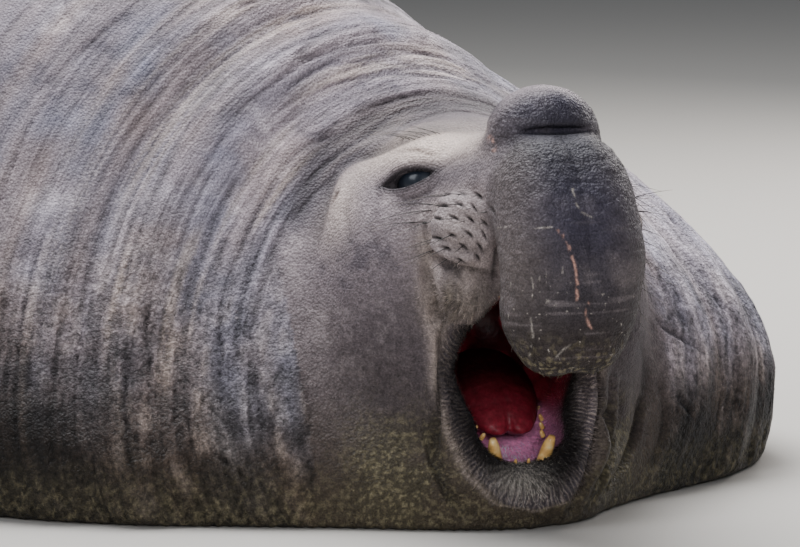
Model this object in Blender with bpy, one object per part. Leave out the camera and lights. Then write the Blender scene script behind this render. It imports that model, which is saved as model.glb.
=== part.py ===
"""Life-size still model of a bull elephant seal, lying on its belly, head turned, mouth open.

The seal is one smooth form described by distances: rounded bodies and tubes blended together.
That form is meshed region by region and parted with thin straight cuts into named nodes.
Y runs from the head (low) to the hind flippers (high), X across, Z up, metres.
"""
import math

import bmesh
import bpy
import numpy as np
import openvdb
from mathutils import Euler, Matrix, Vector

F = np.float32

GAP = 0.0003                 # space left between two nodes that meet
SHIFT = (0.0, -1.8644, 0.0)    # puts the middle of the footprint over the origin

HEAD_AT = (-0.09, 0.0)       # point of the floor under the chin, where the head turns
HEAD_YAW = 30.0              # degrees the head is turned to the seal's right
HEAD_HALF = 0.245            # half width of the block of head cut out of the neck
HEAD_BACK = 0.275            # how far behind the chin the head is cut from the neck
MOUTH_CUT = 0.262            # height of the corners of the mouth
NECK_END = 0.95
CHEST_END = 1.72
BELLY_END = 2.50
RUMP_END = 3.50
FORE_CUT = 0.668             # distance from the middle where a fore flipper leaves the side
HIND_CUT = 0.045

SPINE = [  # y, x of the middle, half width, height, height of the widest place, drop, roundness
    (-0.03, -0.07, 0.03, 0.06, 0.03, 0.05, 2.0),
    (0.02, -0.015, 0.19, 0.13, 0.05, 0.12, 2.0),
    (0.09, 0.06, 0.33, 0.22, 0.07, 0.20, 2.0),
    (0.18, 0.13, 0.47, 0.38, 0.11, 0.30, 1.8),
    (0.28, 0.12, 0.565, 0.59, 0.15, 0.34, 1.7),
    (0.43, 0.055, 0.62, 0.71, 0.15, 0.34, 1.85),
    (0.65, 0.005, 0.64, 0.795, 0.16, 0.34, 2.05),
    (1.00, 0.0, 0.635, 0.825, 0.17, 0.34, 2.1),
    (1.45, 0.0, 0.60, 0.785, 0.17, 0.34, 2.1),
    (1.95, 0.0, 0.55, 0.70, 0.17, 0.32, 2.0),
    (2.45, 0.0, 0.455, 0.565, 0.16, 0.28, 2.0),
    (2.90, 0.0, 0.33, 0.42, 0.13, 0.22, 2.0),
    (3.25, 0.0, 0.21, 0.29, 0.10, 0.16, 2.0),
    (3.47, 0.0, 0.12, 0.18, 0.08, 0.11, 2.0),
    (3.60, 0.0, 0.05, 0.11, 0.06, 0.06, 2.0),
]

LIP = [  # x, y, z in the head's own frame and thickness, from the chin round to the upper lip
    (0.0, -0.014, 0.030, 0.014),
    (0.055, -0.006, 0.040, 0.014),
    (0.094, 0.018, 0.084, 0.015),
    (0.116, 0.040, 0.150, 0.016),
    (0.124, 0.060, 0.220, 0.016),
    (0.119, 0.050, 0.285, 0.015),
    (0.092, 0.014, 0.324, 0.016),
    (0.058, -0.014, 0.362, 0.017),
    (0.0, -0.030, 0.390, 0.018),
]

EYE_OUT = Vector((-0.80, -0.55, 0.25)).normalized()
EYE = Vector((-0.110, 0.158, 0.488)) - EYE_OUT * 0.013
EYE_R = 0.046
EYE_LONG = 0.040             # half length of the opening between the lids
EYE_TALL = 0.0108
EAR = Vector((-0.205, 0.262, 0.455))

HIDE = (0.150, 0.118, 0.100)
HIDE_DARK = (0.105, 0.084, 0.074)
HIDE_PALE = (0.255, 0.205, 0.165)
FLESH = (0.250, 0.020, 0.028)
BALL = (0.010, 0.010, 0.012)


# blending and simple bodies

def smin(a, b, k):
    h = np.maximum(k - np.abs(a - b), 0) / k
    return np.minimum(a, b) - h * h * k * 0.25


def smax(a, b, k):
    return -smin(-a, -b, k)


def ellipsoid(p, centre, radii, turn=(0, 0, 0)):
    q = p - np.array(centre, F)
    if any(turn):
        q = q @ np.array(Euler([math.radians(a) for a in turn]).to_matrix(), F)
    r = np.array(radii, F)
    k0 = np.sqrt(((q / r) ** 2).sum(1))
    k1 = np.sqrt(((q / (r * r)) ** 2).sum(1)) + 1e-9
    return k0 * (k0 - 1) / k1


def catmull(points, per=6):
    """Smooth curve through rows of numbers."""
    rows = np.array(points, float)
    rows = np.vstack((2 * rows[0] - rows[1], rows, 2 * rows[-1] - rows[-2]))
    out = []
    for i in range(1, len(rows) - 2):
        a, b, c, d = rows[i - 1:i + 3]
        for t in np.arange(per) / per:
            out.append(0.5 * (2 * b + (c - a) * t + (2 * a - 5 * b + 4 * c - d) * t ** 2
                              + (3 * b - a - 3 * c + d) * t ** 3))
    out.append(rows[-2])
    return np.array(out)


def tube(p, points, per=4):
    """Round cone chain; the points hold x, y, z and radius."""
    c = catmull(points, per).astype(F)
    best = np.full(len(p), 9.0, F)
    for a, b in zip(c[:-1], c[1:]):
        ab = b[:3] - a[:3]
        t = np.clip(((p - a[:3]) @ ab) / max(float(ab @ ab), 1e-12), 0, 1)
        away = p - a[:3] - t[:, None] * ab
        best = np.minimum(best, np.sqrt((away ** 2).sum(1)) - (a[3] + t * (b[3] - a[3])))
    return best


def both(p):
    """Folds the left and right sides on each other."""
    q = p.copy()
    q[:, 0] = np.abs(q[:, 0])
    return q


RINGS = catmull(SPINE, 10)


def section(x, y, z):
    mid, w, top, zc, drop, e = [np.interp(y, RINGS[:, 0], RINGS[:, i]) for i in range(1, 7)]
    dz = z - zc
    hz = np.where(dz > 0, top - zc, drop)
    e = np.where(dz > 0, e, 2.0)
    a = np.abs(x - mid) / w + 1e-6
    b = np.abs(dz) / hz + 1e-6
    k = (a ** e + b ** e) ** (1 / e)
    slope = k ** (1 - e) * np.sqrt((a ** (e - 1) / w) ** 2 + (b ** (e - 1) / hz) ** 2)
    return k, slope


def trunk_of_body(p):
    x, y, z = p[:, 0], p[:, 1], p[:, 2]
    yc = np.clip(y, RINGS[0, 0] + 0.011, RINGS[-1, 0] - 0.011)
    k, slope = section(x, yc, z)
    along = (section(x, yc + 0.01, z)[0] - section(x, yc - 0.01, z)[0]) / 0.02
    d = (k - 1) / np.sqrt(slope ** 2 + along ** 2)
    over = np.abs(y - yc)
    return np.where(over > 0, np.sqrt(np.maximum(d, 0) ** 2 + over ** 2), d).astype(F)


def neck(p):
    """The body with the front of the neck leaning back over the right cheek and full on the left."""
    lean = p @ np.array((-0.653, -0.494, 0.574), F) - 0.165
    d = smax(trunk_of_body(p), lean, 0.16)
    d = smin(d, ellipsoid(p, (0.375, 0.50, 0.12), (0.435, 0.437, 0.41)), 0.12)
    over = p @ np.array((0.455, -0.42, 0.785), F) - 0.458
    return smax(d, over, 0.13)


def proboscis(q, s):
    d = ellipsoid(q, (0, -0.050, 0.578), (0.084, 0.072, 0.072), (-8, 0, 0))
    d = smin(d, ellipsoid(q, (0, 0.04, 0.525), (0.098, 0.15, 0.066), (-14, 0, 0)), 0.03)
    lobe = ellipsoid(s, (0.026, -0.125, 0.500), (0.074, 0.084, 0.086))
    lobe = smin(lobe, ellipsoid(s, (0.026, -0.175, 0.42), (0.080, 0.086, 0.120), (-8, 0, 0)), 0.04)
    lobe = smin(lobe, ellipsoid(q, (-0.010, -0.182, 0.330), (0.093, 0.076, 0.077)), 0.04)
    for x in (-0.036, 0.024):
        lobe = smin(lobe, ellipsoid(q, (x, -0.182, 0.297), (0.042, 0.060, 0.046)), 0.02)
    d = smin(d, lobe, 0.022)
    return smax(d, -ellipsoid(q, (-0.004, -0.124, 0.592), (0.076, 0.024, 0.0045), (-8, 0, 0)), 0.006)


def face(s):
    d = ellipsoid(s, (0, 0.27, 0.40), (0.200, 0.23, 0.172))
    d = smin(d, ellipsoid(s, (0.105, 0.24, 0.29), (0.150, 0.19, 0.20)), 0.08)
    d = smin(d, ellipsoid(s, (0.080, 0.195, 0.500), (0.062, 0.10, 0.066)), 0.05)
    d = smin(d, ellipsoid(s, (0, 0.05, 0.43), (0.120, 0.155, 0.115), (-15, 0, 0)), 0.05)
    d = smin(d, ellipsoid(s, (0.048, -0.030, 0.492), (0.066, 0.10, 0.068), (-10, 0, 0)), 0.05)
    d = smin(d, ellipsoid(s, (0.096, -0.026, 0.432), (0.056, 0.062, 0.064)), 0.018)
    d = smin(d, ellipsoid(s, (0.090, 0.018, 0.350), (0.054, 0.064, 0.048)), 0.020)
    jaw = tube(s, [(0.0, 0.07, 0.080, 0.075), (0.06, 0.08, 0.085, 0.07),
                   (0.10, 0.13, 0.14, 0.07), (0.12, 0.22, 0.22, 0.09)])
    jaw = smin(jaw, ellipsoid(s, (0, 0.065, 0.055), (0.115, 0.085, 0.075)), 0.04)
    return smin(d, jaw, 0.05)


def mouth(q):
    c = ellipsoid(q, (0, 0.10, 0.240), (0.090, 0.155, 0.088), (14, 0, 0))
    c = smin(c, ellipsoid(q, (0, 0.088, 0.160), (0.064, 0.104, 0.068), (12, 0, 0)), 0.03)
    c = smin(c, ellipsoid(q, (0, 0.070, 0.126), (0.070, 0.076, 0.038), (4, 0, 0)), 0.015)
    c = smin(c, ellipsoid(q, (0, -0.01, 0.328), (0.062, 0.070, 0.062)), 0.03)
    return smin(c, ellipsoid(q, (0, -0.03, 0.21), (0.112, 0.075, 0.135)), 0.03)


def hand(p, base, across, along, up, lengths, spread, r0, r1, thick):
    """Webbed fingers in a fan, flattened."""
    m = np.array((across, along, up), float)
    m /= np.linalg.norm(m, axis=1)[:, None]
    q = (p - np.array(base, F)) @ m.T.astype(F)
    q[:, 2] /= thick
    d = None
    n = len(lengths)
    for i, length in enumerate(lengths):
        a = math.radians(spread[0] + (spread[1] - spread[0]) * i / (n - 1))
        x0 = (i - (n - 1) / 2) * r0 * 1.15
        mid = (x0 + math.sin(a) * length * 0.5, math.cos(a) * length * 0.5, 0.0)
        tip = (x0 + math.sin(a) * length, math.cos(a) * length, 0.0)
        finger = tube(q, [(x0, 0, 0, r0), (*mid, (r0 + r1) * 0.52), (*tip, r1)], 3)
        d = finger if d is None else smin(d, finger, r0)
        if i:       # the web between this finger and the last
            reach = 0.86 * min(length, lengths[i - 1])
            b = a - math.radians(spread[1] - spread[0]) / (n - 1) / 2
            xb = x0 - r0 * 0.57
            for t in (0.35, 0.65):
                c = b + (a - b) * (t - 0.5)
                xt = xb + (t - 0.5) * r0 * 1.1
                end = (xt + math.sin(c) * reach, math.cos(c) * reach, 0.0)
                d = smin(d, tube(q, [(xt, 0, 0, r0 * 0.7), (*end, r1 * 0.75)], 2), r0 * 0.6)
    return d * 0.8


FORE = ((0.738, 1.165, 0.050), (1, -0.42, 0), (0.42, 1, -0.12), (0.0, 0.12, 1),
        (0.31, 0.345, 0.335, 0.300, 0.255), (-11, 11), 0.036, 0.018, 0.55)
HIND = ((0.125, 3.57, 0.062), (1, -0.12, -0.2), (0.12, 1, -0.06), (0.2, 0.06, 1),
        (0.38, 0.32, 0.28, 0.34, 0.46), (-5, 19), 0.034, 0.019, 0.50)


def fore_flipper(p):
    s = both(p)
    arm = tube(s, [(0.48, 0.96, 0.17, 0.10), (0.61, 1.05, 0.115, 0.085), (0.728, 1.15, 0.058, 0.055)], 4)
    return smin(arm, hand(s, *FORE), 0.05)


def rear_flipper(p):
    s = both(p)
    shank = tube(s, [(0.05, 3.28, 0.10, 0.09), (0.085, 3.45, 0.085, 0.065), (0.12, 3.59, 0.065, 0.042)], 4)
    tail = ellipsoid(p, (0, 3.60, 0.085), (0.042, 0.11, 0.032), (-10, 0, 0))
    return smin(shank, hand(s, *HIND), 0.05), tail


def head_frame(p):
    a = math.radians(HEAD_YAW)
    dx = p[:, 0] - F(HEAD_AT[0])
    dy = p[:, 1] - F(HEAD_AT[1])
    return np.stack((dx * math.cos(a) - dy * math.sin(a), dx * math.sin(a) + dy * math.cos(a),
                     p[:, 2]), 1).astype(F)


def seal(p):
    """The whole animal."""
    q = head_frame(p)
    s = both(q)
    d = smin(neck(p), face(s), 0.05)
    d = smax(d, -mouth(q), 0.02)
    d = smin(d, tube(s, LIP), 0.02)
    ball = s * np.array((-1, 1, 1), F) - np.array(EYE, F)
    d = smin(d, np.sqrt((ball ** 2).sum(1)) - (EYE_R + 0.007), 0.03)
    d = smin(d, proboscis(q, s), 0.03)
    hind, tail = rear_flipper(p)
    d = smin(smin(d, fore_flipper(p), 0.05), hind, 0.05)
    return smin(d, tail, 0.04)


# meshing

HEAD_TO_WORLD = Matrix.Translation((*HEAD_AT, 0)) @ Matrix.Rotation(math.radians(-HEAD_YAW), 4, "Z")


def in_head(fn):
    """The same field asked for in the head's own frame."""
    m = np.array(HEAD_TO_WORLD, F)

    def field(q):
        return fn(q @ m[:3, :3].T + m[:3, 3])
    return field


def near_values(fn, lo, hi, voxel, coarse=4):
    """Samples a field on a grid, finely only near its surface."""
    lo = np.array(lo, float)
    n = np.ceil((np.array(hi) - lo) / voxel / coarse).astype(int) * coarse
    big = voxel * coarse
    axes = [lo[i] + big * (np.arange(n[i] // coarse) + 0.5) for i in range(3)]
    centre = np.stack(np.meshgrid(*axes, indexing="ij"), -1).reshape(-1, 3).astype(F)
    d = fn(centre)
    grid = np.repeat(np.repeat(np.repeat(np.sign(d).reshape([k // coarse for k in n]),
                                         coarse, 0), coarse, 1), coarse, 2).astype(F) * F(big)
    close = np.abs(d) < big * 2.2
    mask = np.repeat(np.repeat(np.repeat(close.reshape([k // coarse for k in n]),
                                         coarse, 0), coarse, 1), coarse, 2)
    index = np.argwhere(mask)
    points = (lo + (index + 0.5) * voxel).astype(F)
    value = np.concatenate([fn(part) for part in np.array_split(points, max(1, len(points) // 400000))])
    grid[mask] = value
    return grid, lo + 0.5 * voxel


def meshed(name, fn, lo, hi, voxel, faces, place=None):
    """A closed body of about the given number of triangles: the field inside a box."""
    lo = np.array(lo, float)
    hi = np.array(hi, float)

    def boxed(p):
        out = np.maximum(np.max(lo.astype(F) - p, 1), np.max(p - hi.astype(F), 1))
        return np.maximum(fn(p), out)
    values, corner = near_values(boxed, lo - 3 * voxel, hi + 3 * voxel, voxel)
    grid = openvdb.FloatGrid(9.0)
    grid.copyFromArray(values)
    points, tris, quads = grid.convertToPolygons(0.0, 0.0)
    points = points * voxel + corner
    mesh = bpy.data.meshes.new(name)
    mesh.from_pydata(points.tolist(), [], quads.tolist() + tris.tolist())
    ob = bpy.data.objects.new(name, mesh)
    bpy.context.scene.collection.objects.link(ob)
    if faces < 2 * len(quads) + len(tris):
        mod = ob.modifiers.new("fewer", "DECIMATE")
        mod.ratio = faces / (2 * len(quads) + len(tris))
        settle(ob)
    if place is not None:
        ob.data.transform(place)
    return ob


def settle(ob):
    """Keeps what the modifiers made as the mesh."""
    graph = bpy.context.evaluated_depsgraph_get()
    mesh = bpy.data.meshes.new_from_object(ob.evaluated_get(graph))
    old = ob.data
    ob.modifiers.clear()
    ob.data = mesh
    mesh.name = ob.name
    bpy.data.meshes.remove(old)


def drop(ob):
    bpy.data.objects.remove(ob)


def duplicate(ob, name):
    new = bpy.data.objects.new(name, ob.data.copy())
    new.matrix_world = ob.matrix_world
    bpy.context.scene.collection.objects.link(new)
    return new


def is_closed(mesh):
    """Whether every edge has two faces and the body holds a volume."""
    b = bmesh.new()
    b.from_mesh(mesh)
    good = len(b.faces) > 0 and all(e.is_manifold for e in b.edges) and b.calc_volume() > 0
    b.free()
    return good


def solve(ob, how, **operand):
    """One Boolean by the exact solver, or by the manifold one where that leaves the body open."""
    before = ob.data.copy()
    for solver in ("EXACT", "MANIFOLD"):
        mod = ob.modifiers.new(how, "BOOLEAN")
        mod.operation = how
        mod.solver = solver
        for key, value in operand.items():
            setattr(mod, key, value)
        settle(ob)
        if solver == "MANIFOLD" or is_closed(ob.data):
            break
        ob.data = before.copy()
    bpy.data.meshes.remove(before)


def cut(ob, tool, how):
    """A Boolean with one cutter, which is then removed."""
    solve(ob, how, object=tool)
    drop(tool)


def fuse(ob, pieces):
    """One union with a collection of closed pieces, which are then removed."""
    group = bpy.data.collections.new("pieces")
    bpy.context.scene.collection.children.link(group)
    for piece in pieces:
        for old in list(piece.users_collection):
            old.objects.unlink(piece)
        group.objects.link(piece)
    solve(ob, "UNION", operand_type="COLLECTION", collection=group)
    for piece in pieces:
        drop(piece)
    bpy.data.collections.remove(group)


def block(lo, hi, place=None):
    """A straight cutting block."""
    size = [b - a for a, b in zip(lo, hi)]
    mid = [(a + b) / 2 for a, b in zip(lo, hi)]
    bpy.ops.mesh.primitive_cube_add(size=1)
    ob = bpy.context.active_object
    ob.data.transform(Matrix.Translation(mid) @ Matrix.Diagonal((*size, 1)))
    if place is not None:
        ob.data.transform(place)
    return ob


def ball(centre, radii, turn=None, segments=24, rings=12):
    bpy.ops.mesh.primitive_uv_sphere_add(segments=segments, ring_count=rings, radius=1)
    ob = bpy.context.active_object
    ob.data.transform(Matrix.Diagonal((*radii, 1)))
    if turn is not None:
        ob.data.transform(turn.to_4x4())
    ob.data.transform(Matrix.Translation(centre))
    outward(ob)
    return ob


def bent_tube(points, bevel=2, per=5, closed=False):
    """Tapered round tube along a smooth line; the points hold x, y, z and radius."""
    rows = catmull(points + ([points[0]] if closed else []), per)
    if closed:
        rows = rows[:-1]
    curve = bpy.data.curves.new("line", "CURVE")
    curve.dimensions = "3D"
    curve.bevel_depth = 1.0
    curve.bevel_resolution = bevel
    curve.use_fill_caps = True
    line = curve.splines.new("POLY")
    line.points.add(len(rows) - 1)
    for point, row in zip(line.points, rows):
        point.co = (*row[:3], 1)
        point.radius = row[3]
    line.use_cyclic_u = closed
    ob = bpy.data.objects.new("line", curve)
    bpy.context.scene.collection.objects.link(ob)
    graph = bpy.context.evaluated_depsgraph_get()
    mesh = bpy.data.meshes.new_from_object(ob.evaluated_get(graph))
    drop(ob)
    new = bpy.data.objects.new("tube", mesh)
    bpy.context.scene.collection.objects.link(new)
    outward(new)
    return new


def outward(ob):
    """Welds doubled points and turns every face outwards."""
    b = bmesh.new()
    b.from_mesh(ob.data)
    bmesh.ops.remove_doubles(b, verts=b.verts[:], dist=0.00005)
    bmesh.ops.recalc_face_normals(b, faces=b.faces[:])
    b.to_mesh(ob.data)
    b.free()


def largest(ob):
    """Keeps only the biggest closed surface."""
    b = bmesh.new()
    b.from_mesh(ob.data)
    b.verts.ensure_lookup_table()
    seen = set()
    groups = []
    for start in b.verts:
        if start.index in seen:
            continue
        seen.add(start.index)
        stack = [start]
        group = []
        while stack:
            v = stack.pop()
            group.append(v)
            for e in v.link_edges:
                w = e.other_vert(v)
                if w.index not in seen:
                    seen.add(w.index)
                    stack.append(w)
        groups.append(group)
    groups.sort(key=len)
    bmesh.ops.delete(b, geom=[v for g in groups[:-1] for v in g], context="VERTS")
    b.to_mesh(ob.data)
    b.free()


# the body, cut across

def slab(name, fn, lo, hi, voxel, faces, y0, y1):
    ob = meshed(name, fn, lo, hi, voxel, faces)
    cut(ob, block((-1.2, y0, 0), (1.2, y1, 1.2)), "INTERSECT")
    return ob


def main():
    for ob in list(bpy.data.objects):
        bpy.data.objects.remove(ob)
    h = GAP / 2
    nodes = {}

    nodes["neck"] = slab("neck", seal, (-0.80, -0.10, -0.06), (0.85, NECK_END + 0.04, 0.95), 0.014,
                         2000, -0.2, NECK_END - h)
    hole = block((-HEAD_HALF - h, -0.60, -0.1), (HEAD_HALF + h, HEAD_BACK + h, 1.0), HEAD_TO_WORLD)
    cut(nodes["neck"], hole, "DIFFERENCE")
    nodes["chest"] = slab("chest", seal, (-0.90, NECK_END - 0.04, -0.06), (0.90, CHEST_END + 0.04, 0.95),
                          0.016, 1500, NECK_END + h, CHEST_END - h)
    nodes["abdomen"] = slab("abdomen", seal, (-0.85, CHEST_END - 0.04, -0.06),
                            (0.85, BELLY_END + 0.04, 0.95), 0.018, 700, CHEST_END + h, BELLY_END - h)
    nodes["hindquarters"] = slab("hindquarters", seal, (-0.65, BELLY_END - 0.04, -0.06),
                                 (0.65, RUMP_END + 0.04, 0.7), 0.014, 900, BELLY_END + h, RUMP_END - h)

    # fore flippers leave the sides of the chest
    for side, name in ((-1, "fore_flipper_right"), (1, "fore_flipper_left")):
        lo = (FORE_CUT - 0.03, 0.97, -0.03)
        hi = (1.10, 1.62, 0.30)
        if side < 0:
            lo, hi = (-hi[0], lo[1], lo[2]), (-lo[0], hi[1], hi[2])
        ob = meshed(name, seal, lo, hi, 0.007, 800)
        inner, outer = FORE_CUT + h, 1.2
        x = sorted((side * inner, side * outer))
        cut(ob, block((x[0], 0.9, 0), (x[1], 1.75, 0.5)), "INTERSECT")
        x = sorted((side * (FORE_CUT - h), side * outer))
        cut(nodes["chest"], block((x[0], 0.90, -0.1), (x[1], 1.80, 0.5)), "DIFFERENCE")
        nodes[name] = ob

    # tail and hind flippers
    for side, name in ((-1, "hind_flipper_right"), (1, "hind_flipper_left")):
        lo = (HIND_CUT - 0.02, RUMP_END - 0.03, -0.03)
        hi = (0.50, 4.12, 0.30)
        if side < 0:
            lo, hi = (-hi[0], lo[1], lo[2]), (-lo[0], hi[1], hi[2])
        ob = meshed(name, seal, lo, hi, 0.007, 950)
        x = sorted((side * (HIND_CUT + h), side * 1.0))
        cut(ob, block((x[0], RUMP_END + h, 0), (x[1], 4.3, 0.5)), "INTERSECT")
        nodes[name] = ob
    ob = meshed("tail", seal, (-0.09, RUMP_END - 0.03, -0.03), (0.09, 3.80, 0.25), 0.007, 260)
    cut(ob, block((-HIND_CUT + h, RUMP_END + h, 0), (HIND_CUT - h, 4.3, 0.5)), "INTERSECT")
    nodes["tail"] = ob

    # head: proboscis, skull with upper lip, lower jaw
    field = in_head(seal)
    whole = meshed("head", field, (-HEAD_HALF - 0.03, -0.33, -0.03), (HEAD_HALF + 0.03, HEAD_BACK + 0.03, 0.72),
                   0.0065, 4600)
    back = block((-HEAD_HALF + h, -0.6, 0), (HEAD_HALF - h, HEAD_BACK - h, 1.0))
    cut(whole, back, "INTERSECT")
    lean = Matrix.Translation((0, -0.085, 0.33)) @ Matrix.Rotation(-math.atan2(0.105, 0.29), 4, "X")
    nose = duplicate(whole, "proboscis")
    cut(nose, block((-0.4, -0.6, -0.11), (0.4, -h, 0.7), lean), "INTERSECT")
    cut(whole, block((-0.4, -0.8, -0.11), (0.4, h, 0.7), lean), "DIFFERENCE")
    jaw = duplicate(whole, "lower_jaw")
    cut(jaw, block((-0.5, -0.6, -0.1), (0.5, 0.6, MOUTH_CUT - h)), "INTERSECT")
    cut(whole, block((-0.5, -0.6, MOUTH_CUT + h), (0.5, 0.6, 1.0)), "INTERSECT")
    nodes["proboscis"] = nose
    nodes["lower_jaw"] = jaw
    nodes["head"] = whole

    # eyes between their lids
    out = EYE_OUT
    along = Vector((0.056, -0.09, 0.0365))
    along = (along - out * along.dot(out)).normalized()
    up = along.cross(out)
    if up.z < 0:
        up = -up
    turn = Matrix((along, out, up)).transposed()
    flip = Matrix.Diagonal((-1, 1, 1, 1))
    for side, name in ((-1, "eye_right"), (1, "eye_left")):
        mirror = flip if side > 0 else Matrix.Identity(4)

        def put(piece):
            piece.data.transform(mirror)
            if side > 0:
                piece.data.flip_normals()
            return piece
        rim = []
        fold = []
        for i in range(16):
            t = 2 * math.pi * i / 16
            x = (EYE_LONG + 0.002) * math.cos(t)
            z = (EYE_TALL + 0.003) * math.sin(t)
            y = math.sqrt((EYE_R + 0.004) ** 2 - x * x - z * z)
            rim.append((*(EYE + turn @ Vector((x, y, z))), 0.0045))
        for i in range(9):
            t = math.pi * (0.08 + 0.84 * i / 8)
            x = (EYE_LONG + 0.006) * math.cos(t)
            z = (EYE_TALL + 0.014) * math.sin(t)
            y = math.sqrt((EYE_R + 0.008) ** 2 - min(x * x + z * z, (EYE_R + 0.006) ** 2))
            fold.append((*(EYE + turn @ Vector((x, y - 0.003, z))), 0.0045))
        fuse(nodes["head"], [put(bent_tube(rim, 0, 2, closed=True)), put(bent_tube(fold, 0, 2))])
        gap = ball(EYE + out * (EYE_R + 0.004), (EYE_LONG, 0.016, EYE_TALL), turn, 20, 8)
        cut(nodes["head"], put(gap), "DIFFERENCE")
        socket = ball(EYE, [EYE_R + GAP] * 3, turn, 20, 12)
        cut(nodes["head"], put(socket), "DIFFERENCE")
        nodes[name] = put(ball(EYE, [EYE_R] * 3, turn, 20, 12))

        # ear: a small cup with a fold before it
        hole = ball(EAR, (0.016, 0.007, 0.010), None, 16, 8)
        cut(nodes["head"], put(hole), "DIFFERENCE")

        # nostril under the tip of the trunk
        hole = ball(Vector((-0.030, -0.172, 0.250)), (0.013, 0.019, 0.022), None, 16, 8)
        cut(nodes["proboscis"], put(hole), "DIFFERENCE")

    # teeth
    def tooth(where, base, length, tip, lean_to, bend=0.0):
        a = Vector(where)
        b = a + Vector(lean_to).normalized() * length
        m = (a + b) / 2 + Vector((0, bend, 0))
        rows = [(*(a - (b - a) * 0.35), base), (*a, base), (*m, base * 0.85), (*b, tip)]
        return bent_tube(rows, 1 if base > 0.008 else 0, 3 if base > 0.008 else 1)

    teeth = []
    for side in (-1, 1):
        teeth.append(tooth((side * 0.038, 0.044, 0.094), 0.0110, 0.036, 0.006, (side * 0.22, -0.3, 1), 0.002))
        teeth.append(tooth((side * 0.012, 0.036, 0.090), 0.004, 0.010, 0.002, (0, -0.4, 1)))
        for i in range(5):
            teeth.append(tooth((side * (0.046 + 0.0065 * i), 0.082 + 0.022 * i, 0.118 + 0.011 * i),
                               0.0045, 0.012, 0.002, (-side * 0.4, -0.2, 1)))
    fuse(jaw, teeth)
    upper = []
    for side in (-1, 1):
        upper.append(tooth((side * 0.030, 0.052, 0.347), 0.0095, 0.034, 0.004, (side * 0.1, -0.2, -1), -0.003))
        for i in range(2):
            upper.append(tooth((side * (0.007 + 0.012 * i), 0.045, 0.350), 0.005, 0.016, 0.002, (0, -0.2, -1)))
    fuse(nodes["head"], upper)

    # tongue, resting on the floor of the mouth
    def tongue(q):
        s = both(q)
        d = ellipsoid(s, (0.016, 0.158, 0.164), (0.036, 0.078, 0.028), (24, 0, 0))
        return smin(d, ellipsoid(q, (0, 0.19, 0.180), (0.066, 0.085, 0.048), (26, 0, 0)), 0.035)
    ob = meshed("tongue", tongue, (-0.1, 0.0, 0.05), (0.1, 0.262, MOUTH_CUT - 0.004), 0.006, 500)
    grown = duplicate(jaw, "grown")
    mod = grown.modifiers.new("grow", "DISPLACE")
    mod.strength = 2 * GAP
    mod.mid_level = 0.0
    settle(grown)
    cut(ob, grown, "DIFFERENCE")
    nodes["tongue"] = ob

    # claws of the fore flippers
    for name, side in (("fore_flipper_right", -1), ("fore_flipper_left", 1)):
        base, across, forth, up_, lengths, spread, r0, r1, thick = FORE
        m = [Vector(v).normalized() for v in (across, forth, up_)]
        claws = []
        for i, length in enumerate(lengths):
            a = math.radians(spread[0] + (spread[1] - spread[0]) * i / 4)
            x0 = (i - 2) * r0 * 1.15
            way = m[0] * math.sin(a) + m[1] * math.cos(a)
            start = Vector(base) + m[0] * x0 + way * (length - 0.010) + m[2] * 0.004
            end = start + way * 0.045 - Vector((0, 0, 0.004))
            row = [(*start, 0.0075), (*((start + end) / 2 + Vector((0, 0, 0.003))), 0.006), (*end, 0.002)]
            row = [(side * r[0], r[1], max(r[2], 0.010), r[3]) for r in row]
            claws.append(bent_tube(row, 1, 2))
        fuse(nodes[name], claws)

    for name in ("head", "lower_jaw", "proboscis", "tongue", "eye_left", "eye_right"):
        nodes[name].data.transform(HEAD_TO_WORLD)

    looks = {
        "head": (HIDE_PALE, 0.60), "proboscis": (HIDE, 0.58), "lower_jaw": (HIDE_DARK, 0.60),
        "tongue": (FLESH, 0.35), "eye_left": (BALL, 0.08), "eye_right": (BALL, 0.08),
        "neck": (HIDE, 0.62), "chest": (HIDE, 0.62), "abdomen": (HIDE, 0.62),
        "hindquarters": (HIDE, 0.62), "tail": (HIDE_DARK, 0.62),
        "fore_flipper_left": (HIDE_DARK, 0.60), "fore_flipper_right": (HIDE_DARK, 0.60),
        "hind_flipper_left": (HIDE_DARK, 0.60), "hind_flipper_right": (HIDE_DARK, 0.60),
    }
    animal = bpy.data.collections.new("elephant_seal")
    bpy.context.scene.collection.children.link(animal)
    for name, ob in nodes.items():
        largest(ob)
        for old in list(ob.users_collection):
            old.objects.unlink(ob)
        animal.objects.link(ob)
        ob.name = name
        ob.data.name = name
        ob.data.transform(Matrix.Translation(SHIFT))
        ob.data.materials.clear()
        mat = bpy.data.materials.new(name)
        mat.use_nodes = True
        shader = mat.node_tree.nodes["Principled BSDF"]
        shader.inputs["Base Color"].default_value = (*looks[name][0], 1)
        shader.inputs["Roughness"].default_value = looks[name][1]
        mat.diffuse_color = (*looks[name][0], 1)
        ob.data.materials.append(mat)
        for face_ in ob.data.polygons:
            face_.use_smooth = True
            face_.material_index = 0
        ob.data.update()


main()
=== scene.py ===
import math

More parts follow.
